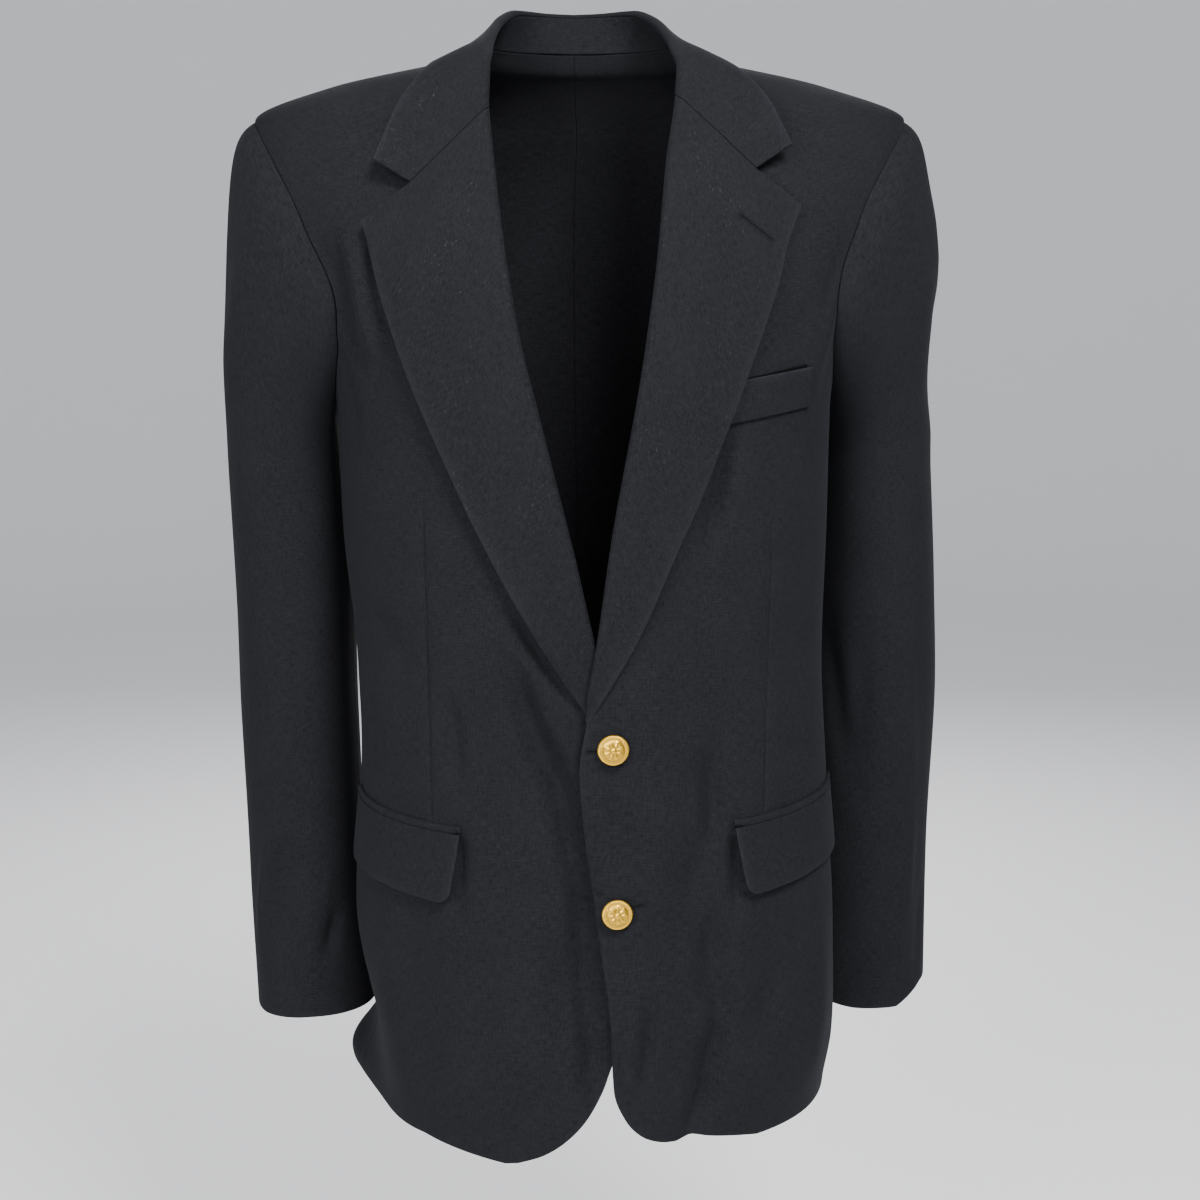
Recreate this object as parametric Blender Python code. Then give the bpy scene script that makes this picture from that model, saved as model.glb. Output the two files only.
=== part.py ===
"""Single-breasted two-button blazer, standing in the hollow form it takes when worn.

Metres, +Z up, front towards -Y, wearer's left towards +X. The origin is the centre of the
neck hole at the height of the neck points, where the wearer's shoulders carry the coat.
The torso is one smooth form: horizontal rings whose sizes come from a short table. Every
body panel is a stretch of that form, given by the angle round the body and the height:
0 degrees is the centre front, +90 the wearer's left side, 180 the centre back.
"""
import math

import bmesh
import bpy
import numpy as np

WALL = 0.002
SEAM_GAP = 0.00036
LEFT = 1
RIGHT = -1
SIDES = (LEFT, RIGHT)
SIDE_NAME = {LEFT: "left", RIGHT: "right"}

# Rings of the torso, from the neck hole down to the hem.
# Columns: height, half_width, front_depth, back_depth, squareness, sway towards +X.
TORSO = np.array([
    (0.000, 0.0718, 0.034, 0.058, 2.0, 0.000),
    (-0.0125, 0.0870, 0.039, 0.062, 2.0, 0.000),
    (-0.0172, 0.1110, 0.047, 0.068, 2.0, 0.001),
    (-0.032, 0.1800, 0.060, 0.080, 2.0, 0.001),
    (-0.055, 0.2355, 0.074, 0.093, 2.0, 0.003),
    (-0.085, 0.2350, 0.091, 0.106, 2.1, 0.002),
    (-0.130, 0.2280, 0.113, 0.116, 2.2, 0.001),
    (-0.190, 0.2000, 0.129, 0.120, 2.4, 0.001),
    (-0.260, 0.1818, 0.137, 0.120, 2.4, 0.001),
    (-0.350, 0.1805, 0.136, 0.111, 2.4, 0.001),
    (-0.450, 0.1775, 0.133, 0.102, 2.4, 0.002),
    (-0.550, 0.1800, 0.134, 0.108, 2.4, 0.005),
    (-0.650, 0.1870, 0.137, 0.118, 2.4, 0.005),
    (-0.740, 0.1920, 0.140, 0.125, 2.3, 0.005),
    (-0.790, 0.1870, 0.140, 0.124, 2.1, 0.004),
])
HEM = -0.788
SHOULDER_TIP = -0.055
BODY_RADIUS = 0.15
HEM_DROP_TOP = -0.60
HEM_DROP_REACH = 0.19

# How far the hem hangs below its level. Columns: angle in degrees, drop.
HEM_DROP = np.array([
    (-180, 0.006), (-130, 0.000), (-108, -0.010), (-80, -0.004), (-45, -0.002), (-22, 0.009),
    (6, -0.002), (18, -0.008), (36, 0.003), (60, 0.003), (110, 0.003), (180, 0.006),
])

# Creases of the body. Columns: angle and height at the upper end, angle and height at the
# lower end, half width of the crease, depth (negative for a trough).
BODY_FOLDS = np.array([
    (-84, -0.330, -84, -0.600, 0.035, -0.0035),
    (-17, -0.640, -19, -0.770, 0.018, 0.0035),
    (-46, -0.600, -40, -0.780, 0.022, -0.0040),
    (16, -0.665, 12, -0.760, 0.012, -0.0035),
    (42, -0.640, 28, -0.740, 0.016, -0.0040),
    (60, -0.610, 52, -0.780, 0.020, 0.0040),
    (52, -0.150, 55, -0.270, 0.013, 0.0045),
    (-43, -0.110, -50, -0.240, 0.009, 0.0050),
    (-52, -0.110, -58, -0.250, 0.010, -0.0035),
    (-60, -0.380, -44, -0.450, 0.014, -0.0025),
    (62, -0.400, 46, -0.440, 0.014, -0.0025),
    (132, -0.160, 140, -0.330, 0.018, 0.0050),
    (-130, -0.150, -138, -0.340, 0.018, 0.0050),
    (118, -0.400, 150, -0.450, 0.016, -0.0040),
    (-116, -0.390, -152, -0.460, 0.016, -0.0040),
    (150, -0.560, 158, -0.770, 0.026, 0.0050),
    (-146, -0.580, -156, -0.770, 0.024, 0.0050),
    (126, -0.600, 122, -0.780, 0.022, -0.0040),
])

# Where a hanging sleeve presses the skirt in, and where the hem kicks out below it.
# Columns: angle, height, reach in degrees, reach in height, depth.
SLEEVE_PRESS = np.array([
    (-76, -0.750, 24, 0.070, 0.018),
    (-106, -0.712, 22, 0.042, 0.0195),
    (-106, -0.780, 20, 0.022, -0.017),
    (104, -0.705, 24, 0.050, 0.010),
    (78, -0.772, 22, 0.045, 0.005),
])

# Inner edge of each front: cut-away corner at the hem, front edge, roll line, neckline.
# Columns: height, distance out from the middle towards the piece's own side.
FRONT_EDGE = {
    LEFT: np.array([
        (-0.788, 0.054), (-0.785, 0.043), (-0.777, 0.029), (-0.762, 0.017), (-0.740, 0.009),
        (-0.690, 0.007), (-0.640, 0.001), (-0.590, -0.005), (-0.550, -0.010),
        (-0.505, -0.013), (-0.470, -0.008), (-0.411, 0.003), (-0.339, 0.0145),
        (-0.235, 0.0345), (-0.171, 0.0455), (-0.092, 0.057), (-0.048, 0.0665),
        (-0.022, 0.0695), (0.000, 0.0720),
    ]),
    RIGHT: np.array([
        (-0.788, 0.060), (-0.784, 0.043), (-0.775, 0.026), (-0.762, 0.012),
        (-0.744, -0.001), (-0.725, -0.008), (-0.690, -0.018), (-0.620, -0.026),
        (-0.550, -0.027), (-0.500, -0.022), (-0.470, -0.0135), (-0.413, 0.005),
        (-0.350, 0.0195), (-0.262, 0.0405), (-0.203, 0.054), (-0.125, 0.0645),
        (-0.048, 0.0705), (-0.022, 0.0714), (0.000, 0.0720),
    ]),
}
HEM_CORNER = 0.048
BELOW_ARM = -0.272
BREAK_HEIGHT = {LEFT: -0.470, RIGHT: -0.500}
GORGE_HEIGHT = {LEFT: -0.0505, RIGHT: -0.0585}
GORGE_RISE = 1.0

# Outer edge of each lapel, from the break up to the point. Columns: height, distance out.
LAPEL_EDGE = {
    LEFT: np.array([
        (-0.470, -0.007), (-0.414, 0.025), (-0.356, 0.051), (-0.309, 0.073),
        (-0.237, 0.101), (-0.172, 0.125), (-0.148, 0.132), (-0.122, 0.143),
    ]),
    RIGHT: np.array([
        (-0.500, -0.020), (-0.463, 0.008), (-0.427, 0.031), (-0.347, 0.073),
        (-0.292, 0.097), (-0.228, 0.122), (-0.188, 0.135), (-0.131, 0.150),
    ]),
}
NOTCH_SHARE = 0.64
NOTCH_CORNER = {LEFT: (0.113, -0.098), RIGHT: (0.118, -0.107)}
LAPEL_POINT_HEIGHT = {LEFT: -0.122, RIGHT: -0.131}
LAPEL_EDGE_LIFT = {LEFT: 0.0065, RIGHT: 0.0085}
ROLL_RADIUS_BREAK = 0.0016
ROLL_RADIUS = 0.0030
LAPEL_GAP = 0.0009
GORGE_GAP = 0.0009
ROLL_SOFT_FROM = 0.35
LAPEL_SETTLE_FROM = 0.3

# The overlapping front stands off the form near the middle. Columns: height, lift.
OVERLAP_LIFT = np.array([
    (-0.790, 0.0034), (-0.600, 0.0034), (-0.530, 0.0045), (-0.470, 0.0070),
    (-0.410, 0.0078), (-0.340, 0.0060), (-0.240, 0.0025), (-0.120, 0.0000), (0.0, 0.0),
])
OVERLAP_FULL = 0.020
OVERLAP_NONE = 0.085
# The right front sinks in beside the overlapping edge. Columns: height, depth.
UNDERLAP_DIP = np.array([
    (-0.790, 0.0), (-0.740, 0.0025), (-0.690, 0.0045), (-0.620, 0.0050), (-0.540, 0.0050),
    (-0.480, 0.0030), (-0.430, 0.0010), (-0.380, 0.0), (0.0, 0.0),
])
UNDERLAP_ASIDE = 0.006
UNDERLAP_WIDTH = 0.014

# The collar from the centre back (0) to its front end (1): the fold on top, the outer edge
# of the fall, and the neck seam. Columns: along, then out, back and height of each, bulge.
COLLAR = np.array([
    (0.00, 0.0000, 0.0620, 0.0270, 0.0000, 0.0790, -0.0225, 0.0000, 0.0580, 0.0000, 0.002),
    (0.15, 0.0230, 0.0565, 0.0270, 0.0410, 0.0755, -0.0215, 0.0300, 0.0527, 0.0000, 0.001),
    (0.30, 0.0415, 0.0400, 0.0250, 0.0760, 0.0600, -0.0180, 0.0520, 0.0401, 0.0000, -0.0015),
    (0.42, 0.0515, 0.0220, 0.0180, 0.0950, 0.0320, -0.0145, 0.0655, 0.0241, 0.0000, -0.0036),
    (0.54, 0.0582, 0.0030, 0.0090, 0.1015, 0.0040, -0.0142, 0.0717, 0.0050, 0.0000, -0.0028),
    (0.64, 0.0620, -0.0150, 0.0000, 0.1035, -0.0225, -0.0165, 0.0708, -0.0130, -0.0022, -0.001),
    (0.74, 0.0650, -0.0310, -0.0095, 0.1105, -0.0480, -0.0260, 0.0700, -0.0270, -0.0075, 0.003),
    (0.86, 0.0665, -0.0520, -0.0240, 0.1260, -0.0720, -0.0505, 0.0685, -0.0480, -0.0225, 0.005),
    (1.00, 0.0660, -0.0685, -0.0446, 0.1420, -0.0885, -0.0830, 0.0670, -0.0680, -0.0465, 0.004),
])
# Tip of the collar's front end: out, back, height.
COLLAR_TIP = {LEFT: (0.1400, -0.0880, -0.0790), RIGHT: (0.1445, -0.0910, -0.0885)}
COLLAR_ROLL_RADIUS = 0.0026
STAND_END = 0.86
STAND_GAP = 0.0006
STAND_FOOT = 0.0012
COLLAR_LEAN_FROM = 0.82
COLLAR_END_FROM = 0.62

# Armhole: heights of its top and bottom, how far it cuts forward and back, in degrees.
ARMHOLE_BOTTOM = -0.255
ARMHOLE_FORWARD = {LEFT: 36.3, RIGHT: 33.4}
ARMHOLE_BACKWARD = 33.0
ARMHOLE_POWER = 1.3
SIDE_SEAM_FRONT_TURN = 150.0
SIDE_SEAM_BACK_TURN = 238.0
SIDE_SEAM_FRONT_LOW = 88.0
SIDE_SEAM_BACK_LOW = 126.0
SIDE_SEAM_REACH = 0.25
ARMHOLE_STEPS = 11
ARMHOLE_EASE = 2.6

# Sleeve sections below the armhole. Columns: height, centre out, centre back, half width
# across, half depth front to back.
SLEEVE = {
    LEFT: np.array([
        (-0.300, 0.2265, 0.030, 0.0420, 0.069),
        (-0.400, 0.2315, 0.042, 0.0470, 0.063),
        (-0.500, 0.2340, 0.053, 0.0515, 0.057),
        (-0.620, 0.2350, 0.062, 0.0495, 0.053),
        (-0.755, 0.2370, 0.064, 0.0490, 0.048),
    ]),
    RIGHT: np.array([
        (-0.300, 0.2238, 0.028, 0.0412, 0.070),
        (-0.400, 0.2218, 0.042, 0.0443, 0.063),
        (-0.500, 0.2235, 0.053, 0.0450, 0.059),
        (-0.620, 0.2235, 0.063, 0.0455, 0.055),
        (-0.748, 0.2195, 0.065, 0.0485, 0.048),
    ]),
}
# Creases of the sleeves. Columns: turn and height at the upper end, turn and height at the
# lower end, half width, depth. Turn 0 is outermost, 90 the front, 180 against the body.
SLEEVE_FOLDS = {
    LEFT: np.array([
        (60, -0.120, 30, -0.260, 0.018, 0.0030),
        (16, -0.080, 20, -0.200, 0.020, 0.0040),
        (24, -0.170, 28, -0.290, 0.020, -0.0050),
        (112, -0.400, 104, -0.600, 0.010, -0.0030),
        (78, -0.400, 62, -0.740, 0.012, 0.0030),
        (300, -0.400, 250, -0.480, 0.014, -0.0045),
        (270, -0.200, 290, -0.360, 0.018, 0.0035),
    ]),
    RIGHT: np.array([
        (58, -0.110, 34, -0.280, 0.018, 0.0030),
        (22, -0.060, 28, -0.230, 0.022, -0.0030),
        (78, -0.540, 34, -0.710, 0.010, 0.0035),
        (122, -0.640, 98, -0.710, 0.009, -0.0040),
        (300, -0.420, 246, -0.500, 0.014, -0.0045),
        (268, -0.190, 288, -0.350, 0.018, 0.0035),
    ]),
}
SLEEVE_ROUNDNESS = {LEFT: 0.90, RIGHT: 0.80}
# How far the cuff's edge rises at a turn. Columns: turn in degrees, rise.
CUFF_RISE = {
    LEFT: np.array([
        (0, 0.014), (22, 0.016), (36, 0.015), (52, 0.009), (72, 0.000), (110, 0.000),
        (150, 0.003), (180, 0.005), (270, 0.003), (330, 0.010), (360, 0.014),
    ]),
    RIGHT: np.array([
        (0, 0.005), (40, 0.003), (80, 0.003), (120, 0.005), (180, 0.007), (270, 0.005),
        (360, 0.005),
    ]),
}
CUFF_REACH = 0.25
SLEEVE_RADIUS = 0.055
# How the head leaves the armhole: share of outward and how much of it stays under the arm,
# least and added share of down, pull; then the full crown just below its seam.
HEAD_OUT = 0.55
HEAD_OUT_UNDER = 0.06
HEAD_DOWN = 0.15
HEAD_DOWN_TOP = 1.35
HEAD_PULL = 0.65
HEAD_PUFF = 0.0055
HEAD_PUFF_AT = 0.10
UNDER_SLEEVE_FROM = 168.4
UNDER_SLEEVE_TO = 278.0
SEAM_TURN_GAP = 0.17

# Hip pocket, in angle round the body and height.
POCKET_INNER_ANGLE = {LEFT: 26.8, RIGHT: 30.1}
POCKET_OUTER_ANGLE = 80.0
POCKET_INNER_HEIGHT = -0.552
POCKET_OUTER_HEIGHT = -0.544
FLAP_DEPTH = 0.049
FLAP_SLANT = 2.2
FLAP_CORNER = 0.16
JET_HEIGHT = 0.0055
POCKET_LIFT = 0.0006
FLAP_STAND_OFF = 0.0016
FLAP_CURL = 0.0034
JET_EDGE = 0.75
FLAP_RADIUS = 0.16

# Breast welt: left and right ends out from the middle, the heights of its top edge there.
WELT_INNER = 0.064
WELT_OUTER = 0.151
WELT_INNER_TOP = -0.243
WELT_OUTER_TOP = -0.229
WELT_DEPTH = 0.028

BUTTON_RADIUS = 0.011
BUTTON_RISE = 0.0036
SHANK_RADIUS = 0.0028
SHANK_LENGTH = 0.0030
BUTTON_SEGMENTS = 24
BUTTON_CLEAR = 0.0003
# Half section of a button's head, as shares of its radius and its rise: dome, rim, back.
BUTTON_FACE = np.array([
    (0.00, 1.00), (0.30, 0.96), (0.58, 0.82), (0.78, 0.62), (0.83, 0.66), (0.93, 0.62),
    (1.00, 0.34), (0.96, 0.08), (0.80, 0.00),
])
BUTTONS = {"button_upper": (0.010, -0.487), "button_lower": (0.012, -0.606)}

WOOL = (0.0252, 0.0273, 0.0319)
WOOL_ROUGHNESS = 0.86
GOLD = (0.80, 0.46, 0.12)
GOLD_ROUGHNESS = 0.24


def clear_scene():
    """Take every object out of the scene."""
    for item in list(bpy.data.objects):
        bpy.data.objects.remove(item, do_unlink=True)


def smooth_curve(at, knots, values):
    """Cubic through the knots, with slopes that never overshoot them."""
    order = np.argsort(knots)
    knots = np.asarray(knots, float)[order]
    values = np.asarray(values, float)[order]
    at = np.clip(np.asarray(at, float), knots[0], knots[-1])
    step = np.diff(knots)
    rise = np.diff(values) / step
    slope = np.zeros_like(values)
    slope[0] = rise[0]
    slope[-1] = rise[-1]
    same_way = rise[1:] * rise[:-1] > 0
    first = 2 * step[1:] + step[:-1]
    second = step[1:] + 2 * step[:-1]
    with np.errstate(divide="ignore", invalid="ignore"):
        mean = (first + second) / (first / rise[:-1] + second / rise[1:])
    slope[1:-1] = np.where(same_way, mean, 0.0)
    low = np.clip(np.searchsorted(knots, at, side="right") - 1, 0, len(step) - 1)
    part = (at - knots[low]) / step[low]
    rest = 1 - part
    return (
        (1 + 2 * part) * rest ** 2 * values[low]
        + part * rest ** 2 * step[low] * slope[low]
        + part ** 2 * (3 - 2 * part) * values[low + 1]
        - part ** 2 * rest * step[low] * slope[low + 1]
    )


def column(table, at, index):
    """One column of a table, read smoothly at values of its first column."""
    return smooth_curve(at, table[:, 0], table[:, index])


def ease(value):
    """Smooth step from 0 at 0 to 1 at 1."""
    value = np.clip(value, 0.0, 1.0)
    return value * value * (3 - 2 * value)


def unit(vectors):
    """Vectors scaled to length one."""
    size = np.linalg.norm(vectors, axis=-1, keepdims=True)
    return vectors / np.maximum(size, 1e-12)


def crease(across, along, folds, radius):
    """Sum of creases: each is a bell across its line that fades towards the line's ends."""
    total = np.zeros(np.broadcast(across, along).shape)
    for start, top, end, bottom, width, depth in folds:
        part = (top - along) / (top - bottom)
        line = start + (end - start) * part
        away = np.radians((across - line + 180) % 360 - 180) * radius
        total = total + depth * np.exp(-(away / width) ** 2) * ease(1.15 - abs(2.3 * part - 1.15))
    return total


def bare_torso(angle, height):
    """Point of the torso's ring at an angle in degrees: a squared ellipse, x and y apart."""
    half_width = column(TORSO, height, 1)
    front = column(TORSO, height, 2)
    back = column(TORSO, height, 3)
    power = 2 / column(TORSO, height, 4)
    sway = column(TORSO, height, 5)
    sine = np.sin(np.radians(angle))
    cosine = np.cos(np.radians(angle))
    depth = np.where(cosine > 0, front, back)
    x = sway + half_width * np.sign(sine) * np.abs(sine) ** power
    y = -depth * np.sign(cosine) * np.abs(cosine) ** power
    return np.stack(np.broadcast_arrays(x, y, height), axis=-1)


def torso_outward(angle, height):
    """Outward direction of the torso, from its slopes round and down."""
    turn = 0.4
    drop = 0.0015
    around = bare_torso(angle + turn, height) - bare_torso(angle - turn, height)
    upper = np.minimum(height + drop, 0.0)
    down = bare_torso(angle, upper - 2 * drop) - bare_torso(angle, upper)
    return unit(np.cross(down, around))


def torso(angle, height, lift=0.0):
    """Point of the coat's body, lift metres out from the form, with creases and hem."""
    angle, height = np.broadcast_arrays(np.asarray(angle, float), np.asarray(height, float))
    wrapped = (angle + 180) % 360 - 180
    point = bare_torso(angle, height)
    out = lift + crease(angle, height, BODY_FOLDS, BODY_RADIUS)
    point = point + torso_outward(angle, height) * np.asarray(out)[..., None]
    for middle, level, spread, reach, depth in SLEEVE_PRESS:
        away = ((wrapped - middle + 180) % 360 - 180) / spread
        press = depth * np.exp(-away ** 2 - ((height - level) / reach) ** 2)
        point[..., 0] -= np.sign(middle) * press
    drop = np.interp(wrapped, HEM_DROP[:, 0], HEM_DROP[:, 1])
    point[..., 2] -= drop * ease((HEM_DROP_TOP - height) / HEM_DROP_REACH)
    return point


def angle_at(out, height, side):
    """Angle of the front point that lies a distance out from the middle, seen from ahead."""
    half_width = column(TORSO, height, 1)
    power = column(TORSO, height, 4) / 2
    away = np.asarray(out) * side - column(TORSO, height, 5)
    share = np.clip(np.abs(away) / half_width, 0.0, 1.0)
    return np.sign(away) * np.degrees(np.arcsin(share ** power))


def overlap_lift(side, out, height):
    """How far the overlapping left front stands off the form, and the right one sinks in."""
    if side == RIGHT:
        edge = UNDERLAP_ASIDE - column(FRONT_EDGE[LEFT], height, 1)
        away = (out - edge) / UNDERLAP_WIDTH
        return -column(UNDERLAP_DIP, height, 1) * np.exp(-away ** 2)
    near = 1 - ease((out - OVERLAP_FULL) / (OVERLAP_NONE - OVERLAP_FULL))
    return column(OVERLAP_LIFT, height, 1) * near


def armhole(side, turn):
    """Angle round the body and height of the armhole at a turn in degrees."""
    middle = (SHOULDER_TIP + ARMHOLE_BOTTOM) / 2
    reach = (SHOULDER_TIP - ARMHOLE_BOTTOM) / 2
    sine = np.sin(np.radians(turn))
    cosine = np.cos(np.radians(turn))
    cut = np.where(sine > 0, ARMHOLE_FORWARD[side], ARMHOLE_BACKWARD)
    angle = 90 - cut * np.sign(sine) * np.abs(sine) ** ARMHOLE_POWER
    return angle, middle + reach * cosine


def armhole_angle(side, height, forward):
    """Angle of the armhole's front or back edge at a height."""
    middle = (SHOULDER_TIP + ARMHOLE_BOTTOM) / 2
    reach = (SHOULDER_TIP - ARMHOLE_BOTTOM) / 2
    turn = np.degrees(np.arccos(np.clip((height - middle) / reach, -1.0, 1.0)))
    return armhole(side, turn if forward else 360 - turn)[0]


def side_seam(side, height, forward):
    """Angle of the seam between the side body and the front or the back."""
    turn = SIDE_SEAM_FRONT_TURN if forward else SIDE_SEAM_BACK_TURN
    top_angle, top_height = armhole(side, turn)
    low_angle = SIDE_SEAM_FRONT_LOW if forward else SIDE_SEAM_BACK_LOW
    share = ease((top_height - height) / SIDE_SEAM_REACH)
    return top_angle + (low_angle - top_angle) * share


def seam_degrees(height):
    """Half a seam's gap as an angle at this height."""
    return np.degrees(0.5 * SEAM_GAP / column(TORSO, height, 1))


def shoulder_degrees(height, forward):
    """Half the shoulder seam's gap as an angle, on the front's or the back's ring."""
    depth = column(TORSO, height, 2 if forward else 3)
    share = 0.5 * SEAM_GAP / depth
    return np.degrees(np.arcsin(share ** (column(TORSO, height, 4) / 2)))


def make_material(name, colour, roughness, metallic):
    """Principled material of one finish."""
    material = bpy.data.materials.new(name)
    material.use_nodes = True
    shader = material.node_tree.nodes["Principled BSDF"]
    shader.inputs["Base Color"].default_value = (*colour, 1.0)
    shader.inputs["Roughness"].default_value = roughness
    shader.inputs["Metallic"].default_value = metallic
    return material


def add_object(name, mesh, colour=WOOL, roughness=WOOL_ROUGHNESS, metallic=0.0):
    """Put a finished mesh into the scene with a material of its own."""
    mesh.materials.append(make_material(name, colour, roughness, metallic))
    mesh.shade_smooth()
    mesh.set_sharp_from_angle(angle=math.radians(40))
    item = bpy.data.objects.new(name, mesh)
    bpy.context.scene.collection.objects.link(item)
    return item


def add_wall(name, outer, inner):
    """Closed wall between two grids of points, with a rim round all four edges."""
    rows, columns = outer.shape[:2]
    count = rows * columns
    index = np.arange(count).reshape(rows, columns)
    a = index[:-1, :-1].ravel()
    b = index[1:, :-1].ravel()
    c = index[1:, 1:].ravel()
    d = index[:-1, 1:].ravel()
    border = np.concatenate([index[0, :-1], index[:-1, -1], index[-1, :0:-1], index[:0:-1, 0]])
    following = np.roll(border, -1)
    faces = np.concatenate([
        np.stack([a, b, c, d], axis=1),
        np.stack([d, c, b, a], axis=1) + count,
        np.stack([border, following, following + count, border + count], axis=1),
    ])
    points = np.concatenate([outer.reshape(-1, 3), inner.reshape(-1, 3)])
    mesh = bpy.data.meshes.new(name)
    mesh.from_pydata(points.tolist(), [], faces.tolist())
    work = bmesh.new()
    work.from_mesh(mesh)
    bmesh.ops.recalc_face_normals(work, faces=work.faces)
    work.to_mesh(mesh)
    work.free()
    return add_object(name, mesh)


def grid_outward(points):
    """Direction square to a grid of points, from its slopes both ways."""
    down = np.gradient(points, axis=0)
    across = np.gradient(points, axis=1)
    return unit(np.cross(down, across))


def add_sheet(name, middle):
    """Wall of even thickness round the middle surface of a sheet."""
    half = 0.5 * WALL * grid_outward(middle)
    return add_wall(name, middle + half, middle - half)


def lower_rows():
    """Heights shared by all body panels below the arm, close together at the hem's corner."""
    corner = HEM + HEM_CORNER * (1 - np.cos(np.linspace(0, math.pi / 2, 5)))
    return np.concatenate([corner, np.linspace(HEM + HEM_CORNER, BELOW_ARM, 12)[1:]])


def panel_heights(side, seam_turn):
    """Heights of a front's or back's rows: hem, side seam, armhole, shoulder seam."""
    turns = np.linspace(min(seam_turn, 360 - seam_turn), 0, ARMHOLE_STEPS + 1)
    beside = armhole(side, turns)[1]
    seam = np.linspace(BELOW_ARM, beside[0], 4)[1:]
    slope = np.linspace(SHOULDER_TIP, 0.0, 9)[1:]
    return np.concatenate([lower_rows(), seam, beside[1:], slope])


def outer_angle(side, heights, forward):
    """Outer edge of a front or back: side seam, then armhole, then shoulder seam."""
    seam_top = armhole(side, SIDE_SEAM_FRONT_TURN if forward else SIDE_SEAM_BACK_TURN)[1]
    beside_arm = (heights > seam_top - WALL) & (heights < SHOULDER_TIP)
    edge = np.where(heights < SHOULDER_TIP, armhole_angle(side, heights, forward), 90.0)
    edge = np.where(heights <= seam_top, side_seam(side, heights, forward), edge)
    gap = seam_degrees(heights) * np.where(beside_arm, ARMHOLE_EASE, 1.0)
    gap = np.where(heights < SHOULDER_TIP, gap, shoulder_degrees(heights, forward))
    return edge - gap if forward else edge + gap


def build_front(side):
    """Front: from the edge and roll line to the side seam, the armhole and the shoulder."""
    heights = panel_heights(side, SIDE_SEAM_FRONT_TURN)
    edge_out = column(FRONT_EDGE[side], heights, 1) + SEAM_GAP / 2
    inner = angle_at(edge_out, heights, side) * side
    outer = outer_angle(side, heights, True)
    share = np.linspace(0, 1, 11)[None, :]
    angle = inner[:, None] + (outer - inner)[:, None] * share
    level = np.repeat(heights[:, None], share.size, axis=1)
    out = np.abs(bare_torso(angle, level)[..., 0])
    lift = overlap_lift(side, out * np.sign(angle), level)
    name = "front_" + SIDE_NAME[side]
    add_wall(name, torso(angle * side, level, lift), torso(angle * side, level, lift - WALL))


def build_back(side):
    """Back: from the centre seam to the side seam, the armhole and the shoulder."""
    heights = panel_heights(side, SIDE_SEAM_BACK_TURN)
    outer = outer_angle(side, heights, False)
    centre = 180 - seam_degrees(heights)
    share = np.linspace(0, 1, 7)[None, :]
    angle = (centre[:, None] + (outer - centre)[:, None] * share) * side
    level = np.repeat(heights[:, None], share.size, axis=1)
    add_wall("back_" + SIDE_NAME[side], torso(angle, level), torso(angle, level, -WALL))


def build_side(side):
    """Side body: between both side seams, from the hem to the armhole's lower curve."""
    share = np.linspace(0, 1, 6)
    turn = SIDE_SEAM_FRONT_TURN + (SIDE_SEAM_BACK_TURN - SIDE_SEAM_FRONT_TURN) * share
    top_angle, top_height = armhole(side, turn)
    low = np.repeat(lower_rows()[:, None], share.size, axis=1)
    climb = np.linspace(0, 1, 4)[1:, None]
    level = np.concatenate([low, BELOW_ARM + (top_height - SEAM_GAP - BELOW_ARM) * climb])
    gap = seam_degrees(level)
    front = side_seam(side, level, True) + gap
    back = side_seam(side, level, False) - gap
    angle = front + (back - front) * share
    rise = ease((level - level[0]) / (level[-1] - level[0]))
    angle = angle + (top_angle - angle[-1]) * (1 - np.abs(2 * share - 1) ** 8) * rise ** 3
    name = "side_" + SIDE_NAME[side]
    add_wall(name, torso(angle * side, level), torso(angle * side, level, -WALL))


def lapel_outline(side, part):
    """Roll line and outer edge of the lapel, as distance out and height, at parts 0 to 1."""
    roll_height = BREAK_HEIGHT[side] + (GORGE_HEIGHT[side] - BREAK_HEIGHT[side]) * part
    roll_out = column(FRONT_EDGE[side], roll_height, 1)
    edge_height = BREAK_HEIGHT[side] + (LAPEL_POINT_HEIGHT[side] - BREAK_HEIGHT[side]) * part
    edge_out = column(LAPEL_EDGE[side], edge_height, 1)
    return np.stack([roll_out, roll_height], -1), np.stack([edge_out, edge_height], -1)


def bent_line(start, corner, end, share):
    """Two straight runs that meet at a corner, which lies at the notch's share."""
    knots = [0.0, NOTCH_SHARE, 1.0]
    rows = np.array([start, corner, end], float)
    return np.stack([np.interp(share, knots, rows[:, k]) for k in range(rows.shape[1])], -1)


def roll_radius(part):
    """Radius of the lapel's turn, tight at the break and soft above it."""
    return ROLL_RADIUS_BREAK + (ROLL_RADIUS - ROLL_RADIUS_BREAK) * ease(part / ROLL_SOFT_FROM)


def lapel_settle(side):
    """How much further the lapel's outer edge stands off than its turn does."""
    return LAPEL_EDGE_LIFT[side] - 2 * ROLL_RADIUS + WALL / 2


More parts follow.
